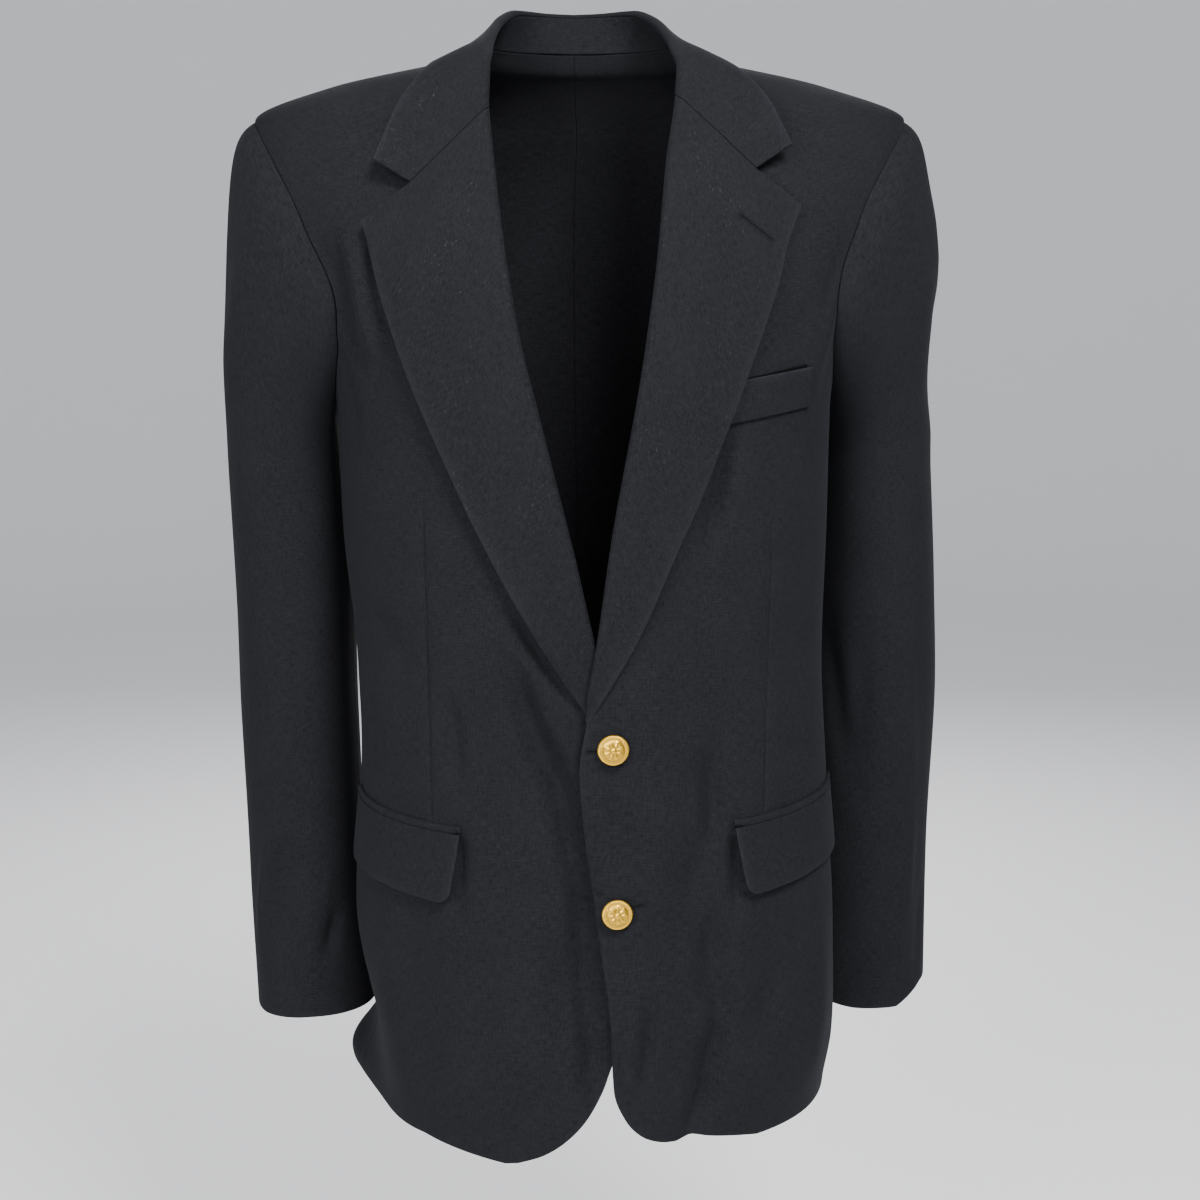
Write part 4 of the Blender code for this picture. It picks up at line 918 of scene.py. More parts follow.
def mark_points(mesh, name, values):
    """Give each point of a mesh a number that its material reads."""
    mark = mesh.attributes.new(name, "FLOAT", "POINT")
    mark.data.foreach_set("value", values.astype(np.float32))


def round_faces(index):
    """Four-sided faces between the rows of a grid of point numbers that closes round."""
    beyond = np.roll(index, -1, axis=1)
    corners = [index[:-1], beyond[:-1], beyond[1:], index[1:]]
    return np.stack([corner.ravel() for corner in corners], axis=1)


def wall_mesh(name, outer, inner, weft, warp, edge):
    """Closed wall of cloth between two grids, with its weave map and painted-highlight edge
    attribute.
    """
    rows, columns = outer.shape[:2]
    count = rows * columns
    index = np.arange(count).reshape(rows, columns)
    corners = [index[:-1, :-1], index[1:, :-1], index[1:, 1:], index[:-1, 1:]]
    quads = np.stack([corner.ravel() for corner in corners], axis=1)
    border = np.concatenate([index[0, :-1], index[:-1, -1], index[-1, :0:-1], index[:0:-1, 0]])
    following = np.roll(border, -1)
    rim = np.stack([border, following, following + count, border + count], axis=1)
    faces = np.concatenate([quads, quads[:, ::-1] + count, rim])
    points = np.concatenate([outer.reshape(-1, 3), inner.reshape(-1, 3)])
    a, b, c, d = (points[faces[:, k]] for k in range(4))
    volume = np.sum(a * np.cross(b, c)) + np.sum(a * np.cross(c, d))
    if volume < 0:
        faces = faces[:, ::-1]
    mesh = smooth_mesh(name, points, faces.tolist())
    weave = np.stack([np.broadcast_to(yarn, outer.shape[:2]) for yarn in (weft, warp)], -1)
    weave = np.concatenate([weave.reshape(-1, 2)] * 2)
    layer = mesh.uv_layers.new(name="cloth")
    layer.data.foreach_set("uv", weave[faces.ravel()].astype(np.float32).ravel())
    mark_points(mesh, "edge", np.concatenate([edge.ravel()] * 2))
    return mesh


def add_piece(name, mesh, material, node=None):
    """Put a finished mesh into the scene, riding on the coat and standing for its node."""
    mesh.materials.append(material)
    piece = bpy.data.objects.new(name, mesh)
    bpy.context.scene.collection.objects.link(piece)
    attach(piece, "root")
    if node:
        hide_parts(node)
    return piece


def add_strip(name, outer, inner, material):
    """Thin strip of painted shade in a slit or a pocket's mouth, between two grids of points."""
    zero = np.zeros(outer.shape[:2])
    return add_piece(name, wall_mesh(name, outer, inner, zero, zero, zero), material)


def sew(node, at, edges, material, weft):
    """Cloth piece for a node: at(lift) gives its grid of points, lift metres out."""
    face = at(0.0)
    distances = border_distances(face)
    sink = edge_sink(distances, edges)
    # Painted highlight along the free edges, stored on each point for the material.
    edge_highlight = np.zeros(sink.shape)
    for away, edge in zip(distances, edges):
        if edge == FREE_EDGE:
            edge_highlight = np.maximum(edge_highlight, np.exp(-away / EDGE_HIGHLIGHT_REACH))
    warp = np.mean(distances[0], axis=1)[:, None]
    mesh = wall_mesh(node + "_cloth", at(-sink), at(sink - WALL), weft, warp, edge_highlight)
    piece = add_piece(node + "_cloth", mesh, material, node=node)
    return piece


def sew_on_body(node, side, places, lift, edges, material):
    """Cloth piece on the body: angle and height of its points, and how far it stands off."""
    angle, level = places

    def at(more):
        return torso(angle * side, level, lift + more)

    return sew(node, at, edges, material, np.radians(angle) * BODY_RADIUS)


def skirt_rows():
    """Heights of the rows from the hem, round its corner, up to just below the arm."""
    corner = HEM + HEM_CORNER * (1 - np.cos(np.linspace(0, math.pi / 2, CORNER_ROWS)))
    return np.concatenate([corner, np.linspace(HEM + HEM_CORNER, BELOW_ARM, SKIRT_ROWS)[1:]])


def panel_rows(side, seam_turn):
    """Heights of a front's or back's rows: round hem corner, side seam, armhole, shoulder."""
    turns = np.linspace(min(seam_turn, 360 - seam_turn), 0, ARMHOLE_ROWS)
    beside = armhole(side, turns)[1]
    seam = np.linspace(BELOW_ARM, beside[0], SEAM_ROWS)[1:]
    slope = SHOULDER_TIP * (1 - close_places(SHOULDER_SLOPE, CLOTH_STEP)[1:])
    return np.concatenate([skirt_rows(), seam, beside[1:], slope])


def dart_angle(side, heights, inner, outer):
    """Angle of the dart's line; above the dart it wanders to the middle of the shoulder."""
    top, low = DART_OUT[side]
    share = np.clip((DART_TOP[side] - heights) / (DART_TOP[side] - DART_BOTTOM), 0, 1)
    line = angle_at(top + (low - top) * share, np.minimum(heights, DART_TOP[side]), side) * side
    middle = inner + DART_SHARE * (outer - inner)
    blend = ease((heights - DART_TOP[side]) / DART_WANDER)
    return line * (1 - blend) + middle * blend


def dart_groove(side, height, away):
    """Depth of the dart: a narrow groove in a shallow pull, both fading at the tip."""
    on = ease((DART_TOP[side] - height) / DART_FADE) * (height > DART_BOTTOM)
    groove = DART_DEPTH * np.exp(-(away / DART_HALF_WIDTH) ** 2)
    pull = DART_PULL_DEPTH * np.exp(-(away / DART_PULL_WIDTH) ** 2)
    return -on * (groove + pull)


def sew_front(side, material):
    """Front with its dart: from the edge and roll line to side seam, armhole, shoulder."""
    heights = panel_rows(side, SIDE_SEAM_FRONT_TURN)
    inner = angle_at(column(FRONT_EDGE[side], heights, 1), heights, side) * side
    outer = outer_angle(side, heights, True)
    dart = dart_angle(side, heights, inner, outer)
    share = close_places(FRONT_WIDTH, CLOTH_STEP, [DART_SHARE * FRONT_WIDTH])[None, :]
    first = np.clip(share / DART_SHARE, 0, 1)
    second = np.clip((share - DART_SHARE) / (1 - DART_SHARE), 0, 1)
    angle = inner[:, None] + (dart - inner)[:, None] * first + (outer - dart)[:, None] * second
    level = np.repeat(heights[:, None], share.size, axis=1)
    out = np.abs(bare_torso(angle, level)[..., 0]) * np.sign(angle)
    away = np.radians(angle - dart[:, None]) * BODY_RADIUS
    lift = overlap_lift(side, out, level) + dart_groove(side, level, away)
    edges = (FREE_EDGE, SEWN_EDGE, FREE_EDGE, SEWN_EDGE)
    return sew_on_body("front_" + SIDE_NAME[side], side, (angle, level), lift, edges, material)


def sew_back(side, material):
    """Back: from the centre seam to side seam, armhole and shoulder."""
    heights = panel_rows(side, SIDE_SEAM_BACK_TURN)
    outer = outer_angle(side, heights, False)
    share = close_places(BACK_WIDTH, CLOTH_STEP)[None, :]
    angle = 180 + (outer[:, None] - 180) * share
    level = np.repeat(heights[:, None], share.size, axis=1)
    edges = (FREE_EDGE, SEWN_EDGE, SEWN_EDGE, SEWN_EDGE)
    return sew_on_body("back_" + SIDE_NAME[side], side, (angle, level), 0.0, edges, material)


def sew_side(side, material):
    """Side body: between both side seams, up to the armhole's lower curve."""
    share = close_places(SIDE_WIDTH, CLOTH_STEP)
    turn = SIDE_SEAM_FRONT_TURN + (SIDE_SEAM_BACK_TURN - SIDE_SEAM_FRONT_TURN) * share
    top_angle, top_height = armhole(side, turn)
    low = np.repeat(skirt_rows()[:, None], share.size, axis=1)
    climb = close_places(SIDE_CLIMB, CLOTH_STEP)[1:, None]
    level = np.concatenate([low, BELOW_ARM + (top_height - BELOW_ARM) * climb])
    front = side_seam(side, level, True)
    back = side_seam(side, level, False)
    angle = front + (back - front) * share
    rise = ease((level - level[0]) / (level[-1] - level[0]))
    inside = 1 - np.abs(2 * share - 1) ** SIDE_TOP_SQUARE
    angle = angle + (top_angle - angle[-1]) * inside * rise ** SIDE_TOP_LATE
    edges = (FREE_EDGE, SEWN_EDGE, SEWN_EDGE, SEWN_EDGE)
    return sew_on_body("side_" + SIDE_NAME[side], side, (angle, level), 0.0, edges, material)


def sheet_at(middle, thin=1.0, flip=False):
    """Grid function of a sheet known by its middle; lift 0 is its outer face, thinned."""
    down = np.gradient(middle, axis=0)
    across = np.gradient(middle, axis=1)
    outward = unit(np.cross(down, across)) * (-1 if flip else 1)

    def at(more):
        lift = (np.asarray(more) + WALL / 2) * thin
        return middle + outward * (lift[..., None] if lift.ndim else lift)

    return at


def roll_radius(part):
    """Radius of the lapel's turn: soft above, tight at the break."""
    radius = ROLL_RADIUS_BREAK + (ROLL_RADIUS - ROLL_RADIUS_BREAK) * ease(part / ROLL_SOFT_FROM)
    return radius * (BREAK_TURN + (1 - BREAK_TURN) * ease(part / BREAK_TAPER))


def sew_lapel(side, material):
    """Lapel: half a turn round the roll line, then over the chest to its edge."""
    part = LAPEL_START + (1 - LAPEL_START) * close_places(LAPEL_LENGTH, CLOTH_STEP)
    corner = NOTCH_SHARE * LAPEL_WIDTH
    share = close_places(LAPEL_WIDTH, CLOTH_STEP, [corner])
    turn = np.linspace(0, math.pi, ROLL_STEPS)[None, :-1]
    middle = lapel_middle(side, part, share, turn, GORGE_SEAM)
    thin = BREAK_THIN + (1 - BREAK_THIN) * ease(part / BREAK_TAPER)[:, None]
    at = sheet_at(middle, thin, side == RIGHT)
    edges = (SEWN_EDGE, GORGE_EDGE, SEWN_EDGE, FREE_EDGE)
    weft = border_distances(middle)[2]
    name = SIDE_NAME[side]
    return sew("lapel_" + name, at, edges, material, weft)


def sew_collar_fall(material):
    """Fall of the collar: over the fold, then down to its edge, its ends cut at the gorge."""
    along = 2 * close_places(COLLAR_LENGTH, CLOTH_STEP) - 1
    turn = np.linspace(0, math.pi, ROLL_STEPS)[None, :-1]
    share = close_places(COLLAR_DEPTH, CLOTH_STEP, [NOTCH_SHARE * COLLAR_DEPTH])
    middle = collar_middle(along, share, turn)
    edges = (GORGE_EDGE, GORGE_EDGE, SEWN_EDGE, FREE_EDGE)
    weft = border_distances(middle)[2]
    return sew("collar_fall", sheet_at(middle), edges, material, weft)


def sew_collar_stand(material):
    """Stand of the collar: from the neck seam up to the fold."""
    along = STAND_END * (2 * close_places(STAND_LENGTH, CLOTH_STEP) - 1)
    top = collar_line(along, FOLD)
    seam = collar_line(along, NECK_SEAM) - collar_frame(along)[1] * 0.5 * WALL
    share = close_places(STAND_HEIGHT, CLOTH_STEP)[None, :, None]
    middle = seam[:, None] + (top - seam)[:, None] * share
    edges = (SEWN_EDGE,) * 4
    weft = border_distances(middle)[2]
    return sew("collar_stand", sheet_at(middle), edges, material, weft)


def sew_sleeve_piece(side, kind, first, last, material):
    """One of the sleeve's two pieces, between two turns in degrees."""
    width = np.radians(last - first) * SLEEVE_RADIUS
    turn = first + (last - first) * close_places(width, CLOTH_STEP)
    head = close_places(HEAD_LENGTH, CLOTH_STEP)
    arm = close_places(ARM_LENGTH, CLOTH_STEP)
    arm = arm[arm > CLOSE_ROWS[-1] / ARM_LENGTH]
    head = head[head < 1 - CLOSE_ROWS[-1] / HEAD_LENGTH]
    turn, along = np.meshgrid(turn, np.concatenate([head, 1 + arm]))
    point = sleeve(side, turn, along)
    down = unit(sleeve(side, turn, np.clip(along + SLEEVE_STEP, 0, 2)) - point)
    closer = np.where(along < 1, SEAM_CLOSE * np.exp(-along / SEAM_CLOSE_REACH), 0.0)
    point = point - down * closer[..., None]
    outward = sleeve_outward(side, turn, along)
    folds = crease(turn % 360, point[..., 2], SLEEVE_FOLDS[side], SLEEVE_RADIUS)
    folds = folds * ease(along / SLEEVE_FOLDS_FROM)

    def at(more):
        return point + outward * (folds + more)[..., None]

    edges = (SEWN_EDGE, FREE_EDGE, SEWN_EDGE, SEWN_EDGE)
    weft = np.radians(turn) * SLEEVE_RADIUS
    return sew(kind + "_" + SIDE_NAME[side], at, edges, material, weft)


def sew_pocket(side, material):
    """Hip pocket: a narrow jet over a flap with round lower corners."""
    share = close_places(POCKET_LENGTH, CLOTH_STEP)
    first = POCKET_INNER_ANGLE[side]
    angle = first + (POCKET_OUTER_ANGLE - first) * share
    line = POCKET_INNER_HEIGHT + (POCKET_OUTER_HEIGHT - POCKET_INNER_HEIGHT) * share
    part = np.linspace(0, 1, JET_ROWS)[:, None]
    level = line[None, :] + JET_HEIGHT * part
    place = np.repeat(angle[None, :], level.shape[0], axis=0)
    full = POCKET_LIFT + WALL * (JET_EDGE + (1 - JET_EDGE) * np.sin(math.pi * part))
    name = SIDE_NAME[side]
    sewn = (SEWN_EDGE,) * 4
    sew_on_body("pocket_jet_" + name, side, (place, level), full, sewn, material)
    corner = 1 - FLAP_CORNER * np.linspace(0.02, 0.98, FLAP_CORNER_ROWS)
    part = np.sort(np.concatenate([close_places(FLAP_DEPTH, CLOTH_STEP), corner]))[:, None]
    slant = FLAP_SLANT * part * (1 - share)[None, :]
    low_round = np.sqrt(np.clip(1 - ((part - 1 + FLAP_CORNER) / FLAP_CORNER) ** 2, 0, 1))
    pull = np.where(part > 1 - FLAP_CORNER, 1 - low_round, 0.0) * FLAP_DEPTH * FLAP_CORNER
    ends = np.degrees(pull / FLAP_RADIUS) * (1 - 2 * share)[None, :]
    flap_angle = angle[None, :] + slant + ends
    flap_level = line[None, :] - FLAP_DEPTH * part
    stand_off = POCKET_LIFT + FLAP_STAND_OFF * np.sin(math.pi * 0.5 * part) + WALL
    stand_off = stand_off + FLAP_CURL * part ** 2 * (1 - share)[None, :] ** 3
    stand_off = stand_off - crease(flap_angle * side, flap_level, FLAP_HOLLOWS, BODY_RADIUS)
    edges = (SEWN_EDGE, FREE_EDGE, FREE_EDGE, FREE_EDGE)
    places = (flap_angle, flap_level)
    return sew_on_body("pocket_flap_" + name, side, places, stand_off, edges, material)


def sew_breast_welt(material):
    """Breast welt: a slanted band on the left chest, its inner end under the lapel."""
    share = close_places(WELT_OUTER - WELT_INNER, CLOTH_STEP)[None, :]
    part = close_places(WELT_DEPTH, CLOTH_STEP)[:, None]
    out = WELT_INNER + (WELT_OUTER - WELT_INNER) * share + 0 * part
    level = WELT_INNER_TOP + (WELT_OUTER_TOP - WELT_INNER_TOP) * share - WELT_DEPTH * part
    angle = angle_at(out, level, LEFT)
    gape = WELT_GAPE * (1 - part) ** 2 * bell(share, WELT_GAPE_PLACE)
    lift = POCKET_LIFT + WALL + gape + overlap_lift(LEFT, out, level)
    edges = (FREE_EDGE, SEWN_EDGE, SEWN_EDGE, SEWN_EDGE)
    return sew_on_body("breast_welt", LEFT, (angle, level), lift, edges, material)


def add_pocket_mouth(slit_shade_material):
    """Painted shade in the mouth of the breast pocket: a thin dark line over the welt, wider
    outwards.
    """
    share = np.linspace(0.02, 0.98, 60)[None, :]
    rise = np.array([-0.5, 0.2, 1.0])[:, None] * MOUTH_GAPE * (0.30 + 0.70 * share ** 2)
    out = WELT_INNER + (WELT_OUTER - WELT_INNER) * share + 0 * rise
    level = WELT_INNER_TOP + (WELT_OUTER_TOP - WELT_INNER_TOP) * share + rise
    angle = angle_at(out, level, LEFT)
    lift = overlap_lift(LEFT, out, level)
    outer = torso(angle, level, lift + MOUTH_THICK)
    inner = torso(angle, level, lift - MOUTH_THICK)
    return add_strip("breast_pocket_mouth_shade", outer, inner, slit_shade_material)


def button_relief(radius, turn):
    """Relief of the button's face in metres: rosette, ring of beads and twisted rim."""
    petal = np.cos(turn * PETALS / 2) ** 2
    between = np.sin(turn * PETALS / 2)
    along = np.clip((radius - PETAL_FROM) / PETAL_LENGTH, 0, 1)
    leaf = np.clip(np.sin(math.pi * along), 0, 1)
    rosette = PETAL_RISE * leaf ** 0.7 * petal ** 1.5
    second = 0.55 * PETAL_RISE * between ** 6 * bell(radius, SECOND_ROW)
    vein = -0.22 * PETAL_RISE * leaf * bell(between, (0.0, 0.10))
    boss = 1.1 * PETAL_RISE * np.clip(1 - (radius / BOSS) ** 2, 0, 1) ** 0.5
    dots = bell(radius, BEAD_ROW) * np.cos(turn * BEADS / 2) ** 4
    twist = RIM_RISE * np.sin(turn * TWISTS) * bell(radius, RIM_ROW)
    return rosette + second + vein + boss + BEAD_RISE * dots + twist


def add_button(node, out, height, spin, material):
    """Domed gold button with its relief, turned round its own axis, on a shank."""
    angle = angle_at(out, height, LEFT)
    seat = torso(angle, height, overlap_lift(LEFT, out, height) + BUTTON_CLEAR)
    axis = torso_outward(angle, height)
    right = unit(np.cross(axis, np.array([0.0, 0.0, 1.0])))
    up = np.cross(right, axis)
    face_radius = np.linspace(0.012, 1.0, FACE_RINGS)
    rise = np.interp(face_radius, BUTTON_FACE[:7, 0], BUTTON_FACE[:7, 1])
    radius = np.concatenate([face_radius, [0.995, 0.96, 0.80, SHANK_RADIUS / BUTTON_RADIUS]])
    rise = np.concatenate([rise, [0.18, 0.06, 0.0, 0.0]])
    base = SHANK_LENGTH + BUTTON_RISE * rise
    radius = np.append(radius, SHANK_RADIUS / BUTTON_RADIUS)
    base = np.append(base, 0.0)
    turn = np.linspace(0, 2 * math.pi, FACE_SPOKES, endpoint=False)
    relief = button_relief(radius[:, None], turn[None, :] + spin)
    relief = relief * (np.arange(radius.size) < face_radius.size)[:, None]
    level = base[:, None] + relief
    spoke = np.cos(turn)[:, None] * right + np.sin(turn)[:, None] * up
    points = seat + BUTTON_RADIUS * radius[:, None, None] * spoke + axis * level[..., None]
    rows, columns = level.shape
    index = np.arange(rows * columns).reshape(rows, columns)
    faces = round_faces(index)[:, [0, 3, 2, 1]].tolist()
    beyond = np.roll(index, -1, axis=1)
    top = rows * columns
    centre = seat + axis * level[0].mean()
    faces += np.stack([np.full(columns, top), index[0], beyond[0]], axis=1).tolist()
    faces += np.stack([np.full(columns, top + 1), beyond[-1], index[-1]], axis=1).tolist()
    points = np.concatenate([points.reshape(-1, 3), centre[None], seat[None]])
    mesh = smooth_mesh(node + "_gold", points, faces)
    lowest = LOWEST_RELIEF * PETAL_RISE
    raised = np.clip((relief - lowest) / (PETAL_RISE - lowest), 0, 1)
    inner, outer = HOLLOW_BROWN_BAND
    hollow = (1 - raised) * ((radius < outer) & (radius > inner))[:, None]
    mark_points(mesh, "hollow", np.append(hollow.ravel(), [0, 0]))
    return add_piece(node + "_gold", mesh, material, node)


def stitch_row(middles, across, outward):
    """Points and faces of raised stitches: six-sided bars across a line, bent down at ends."""
    along = np.array([-1.0, -0.82, -0.35, 0.35, 0.82, 1.0])
    thick = np.array([0.30, 0.85, 1.0, 1.0, 0.85, 0.30])
    turn = np.linspace(0, 2 * math.pi, 6, endpoint=False)
    forward = unit(np.cross(across, outward))
    centre = middles[:, None] + across[:, None] * (along * STITCH_HALF)[None, :, None]
    centre = centre + outward[:, None] * (STITCH_THICK * (thick - 0.6))[None, :, None]
    ring = forward[:, None, None] * np.cos(turn)[None, None, :, None]
    ring = ring + outward[:, None, None] * np.sin(turn)[None, None, :, None]
    points = centre[:, :, None] + ring * (STITCH_THICK * thick)[None, :, None, None]
    index = np.arange(along.size * turn.size).reshape(along.size, turn.size)
    one = round_faces(index)
    start = np.arange(len(middles))[:, None, None] * index.size
    sides = (one[None] + start).reshape(-1, 4).tolist()
    first_cap = (index[0][None, ::-1] + start[:, 0]).tolist()
    last_cap = (index[-1][None] + start[:, 0]).tolist()
    return points.reshape(-1, 3), sides + first_cap + last_cap


def add_buttonhole(name, hole, surface, eye, material, slit_shade_material):
    """Keyhole buttonhole: a slit of painted shade edged by close stitches, with a round eye."""
    eye_out, eye_height, end_out, end_height = hole
    length = math.hypot(end_out - eye_out, end_height - eye_height)
    way = np.array([end_out - eye_out, end_height - eye_height]) / length
    beside = np.array([-way[1], way[0]])
    count = int(length / STITCH_PITCH)
    run = np.linspace(0.0, length, count)
    bend = np.linspace(-math.pi / 2, math.pi / 2, 9)[1:-1]
    round_turn = np.linspace(0.30 * math.pi, 1.70 * math.pi, 15) if eye else bend + math.pi
    size = EYE_RADIUS if eye else 0.0
    flat_middle = []
    flat_across = []
    offset = STITCH_HALF + SLIT_HALF
    for sign in (1, -1):
        flat_middle.append(run[:, None] * way + sign * offset * beside)
        flat_across.append(np.repeat((sign * beside)[None], count, axis=0))
    for turn, centre in ((round_turn, 0.0), (bend, length)):
        spoke = np.cos(turn)[:, None] * way + np.sin(turn)[:, None] * beside
        reach = offset + (size if centre == 0.0 else 0.0)
        flat_middle.append(centre * way + spoke * reach)
        flat_across.append(spoke)
    flat_middle = np.concatenate(flat_middle) + (eye_out, eye_height)
    flat_across = np.concatenate(flat_across)
    middles = surface(flat_middle, STITCH_THICK * 0.3)
    tips = surface(flat_middle + flat_across * STITCH_HALF, STITCH_THICK * 0.3)
    across = unit(tips - middles)
    outward = unit(surface(flat_middle, 0.001) - surface(flat_middle, 0.0))
    points, faces = stitch_row(middles, across, outward)
    piece = add_piece(name, smooth_mesh(name, points, faces), material)
    # Painted shade in the slit: a near-black strip between the rows of stitches.
    steps = np.linspace(-0.5 * EYE_RADIUS if eye else 0.0, length, 40)
    half = SLIT_HALF * 1.6 + EYE_RADIUS * np.exp(-(steps / EYE_RADIUS) ** 2) * (0.9 if eye else 0)
    rows = [(steps[:, None] * way + sign * half[:, None] * beside) for sign in (-1, 0, 1)]
    strip = np.stack(rows, axis=1) + (eye_out, eye_height)
    outer = surface(strip.reshape(-1, 2), SLIT_TOP).reshape(*strip.shape[:2], 3)
    inner = surface(strip.reshape(-1, 2), SLIT_BOTTOM).reshape(*strip.shape[:2], 3)
    add_strip(name + "_slit", outer, inner, slit_shade_material)
    return piece


def front_surface(places, lift):
    """Points on the left front at (distance out, height), lift metres above its face."""
    out, height = places[:, 0], places[:, 1]
    stand = overlap_lift(LEFT, out, height) + lift
    return torso(angle_at(out, height, LEFT), height, stand)


def lapel_surface(places, lift):
    """Points on the left lapel at (distance out, height), lift metres above its face.

    The part and share of each place are found by correcting a first guess in rounds.
    """
    foot = BREAK_HEIGHT[LEFT]
    rise = LAPEL_POINT_HEIGHT[LEFT] - foot
    part = (places[:, 1] - foot) / rise
    share = np.full(part.shape, PLACE_GUESS)
    last_roll, last_edge = lapel_outline(LEFT, 1.0)
    for _ in range(PLACE_ROUNDS):
        roll, edge = lapel_outline(LEFT, part)
        place = roll + (edge - roll) * share[:, None]
        top = bent_line(last_roll, NOTCH_CORNER[LEFT], last_edge, share)
        flat_top = last_roll + (last_edge - last_roll) * share[:, None]
        place = place + (top - flat_top) * part[:, None] ** NOTCH_LATE
        part = np.clip(part + (places[:, 1] - place[:, 1]) / rise, 0, 1)
        share = np.clip(share + (places[:, 0] - place[:, 0]) / (edge - roll)[:, 0], 0, 1)
    out, height = places[:, 0], places[:, 1]
    stand = 2 * roll_radius(part) + lapel_settle(LEFT) * share + overlap_lift(LEFT, out, height)
    return torso(angle_at(out, height, LEFT), height, stand + lift)


# ---- materials ----


def node(tree, kind, place=(0, 0), **settings):
    """Add a shader node with its settings; keys that name an input set its value."""
    item = tree.nodes.new(kind)
    item.location = place
    for key, value in settings.items():
        if key in item.inputs:
            item.inputs[key].default_value = value
        else:
            setattr(item, key, value)
    return item


def math_node(tree, operation, first, second=None, clamp=False):
    """Math node on two values or sockets; gives back its output."""
    item = tree.nodes.new("ShaderNodeMath")
    item.operation = operation
    item.use_clamp = clamp
    for slot_index, value in enumerate((first, second)):
        if value is None:
            continue
        if isinstance(value, (int, float)):
            item.inputs[slot_index].default_value = value
        else:
            tree.links.new(value, item.inputs[slot_index])
    return item.outputs[0]


def mix_colour(tree, factor, first, second):
    """Colour mix of two colours or sockets by a factor socket; gives back its output."""
    item = tree.nodes.new("ShaderNodeMix")
    item.data_type = "RGBA"
    tree.links.new(factor, item.inputs["Factor"])
    for socket, value in ((item.inputs[6], first), (item.inputs[7], second)):
        if isinstance(value, tuple):
            socket.default_value = (*value, 1.0)
        else:
            tree.links.new(value, socket)
    return item.outputs[2]


def new_group(name, inputs, outputs):
    """Shader node group with number inputs and outputs; gives the tree and its two ends."""
    tree = bpy.data.node_groups.new(name, "ShaderNodeTree")
    kind = "NodeSocketFloat"
    for label, value in inputs.items():
        socket = tree.interface.new_socket(name=label, in_out="INPUT", socket_type=kind)
        socket.default_value = value
    for label in outputs:
        tree.interface.new_socket(name=label, in_out="OUTPUT", socket_type=kind)
    return tree, tree.nodes.new("NodeGroupInput"), tree.nodes.new("NodeGroupOutput")


def stretched_noise(tree, across, along, detail=2.0):
    """Noise on the weave map, drawn out along one yarn; gives back its value."""
    where = node(tree, "ShaderNodeUVMap", uv_map="cloth")
    scale = node(tree, "ShaderNodeMapping", Scale=(across, along, 1.0))
    tree.links.new(where.outputs[0], scale.inputs["Vector"])
    noise = node(tree, "ShaderNodeTexNoise", Scale=1.0, Detail=detail, Roughness=0.6)
    tree.links.new(scale.outputs[0], noise.inputs["Vector"])
    return noise.outputs[0]


def object_noise(tree, scale, detail=2.0):
    """Noise that lies in the object itself; gives back its value."""
    where = node(tree, "ShaderNodeTexCoord")
    noise = node(tree, "ShaderNodeTexNoise", Scale=scale, Detail=detail)
    tree.links.new(where.outputs["Object"], noise.inputs["Vector"])
    return noise.outputs[0]


def new_material(name):
    """New material; gives it with its shader tree and its main shader."""
    material = bpy.data.materials.new(name)
    material.use_nodes = True
    tree = material.node_tree
    return material, tree, tree.nodes["Principled BSDF"]


def weave_group():
    """Worsted weave: yarns crossing each other, uneven in thickness both ways."""
    inputs = {"Pitch": 0.0009, "Slub": 1.0}
    tree, start, end = new_group("worsted_weave", inputs, ["Shade", "Height"])
    where = node(tree, "ShaderNodeUVMap", uv_map="cloth")
    parts = node(tree, "ShaderNodeSeparateXYZ")
    tree.links.new(where.outputs[0], parts.inputs[0])
    turns = math_node(tree, "DIVIDE", 2 * math.pi, start.outputs["Pitch"])
    warp = math_node(tree, "SINE", math_node(tree, "MULTIPLY", parts.outputs[0], turns))
    weft = math_node(tree, "SINE", math_node(tree, "MULTIPLY", parts.outputs[1], turns))
    crossing = math_node(tree, "MULTIPLY", warp, weft)
    long_yarns = stretched_noise(tree, *LONG_YARNS)
    cross_yarns = stretched_noise(tree, *CROSS_YARNS)
    grain = stretched_noise(tree, *GRAIN)
    cloudy = stretched_noise(tree, *CLOUDS)
    slub = math_node(tree, "ADD", long_yarns, cross_yarns)
    slub = math_node(tree, "SUBTRACT", slub, 1.0)
    slub = math_node(tree, "MULTIPLY", slub, start.outputs["Slub"])
    cloud = math_node(tree, "SUBTRACT", math_node(tree, "ADD", cloudy, grain), 1.0)
    cloud = math_node(tree, "MULTIPLY", cloud, CLOUD_SHARE)
    shade = math_node(tree, "ADD", math_node(tree, "ADD", slub, cloud), 0.5, clamp=True)
    tree.links.new(shade, end.inputs["Shade"])
    height = math_node(tree, "MULTIPLY_ADD", crossing, CROSSING_SHARE)
    height.node.inputs[2].default_value = 0.0
    tree.links.new(math_node(tree, "ADD", height, slub), end.inputs["Height"])
    return tree


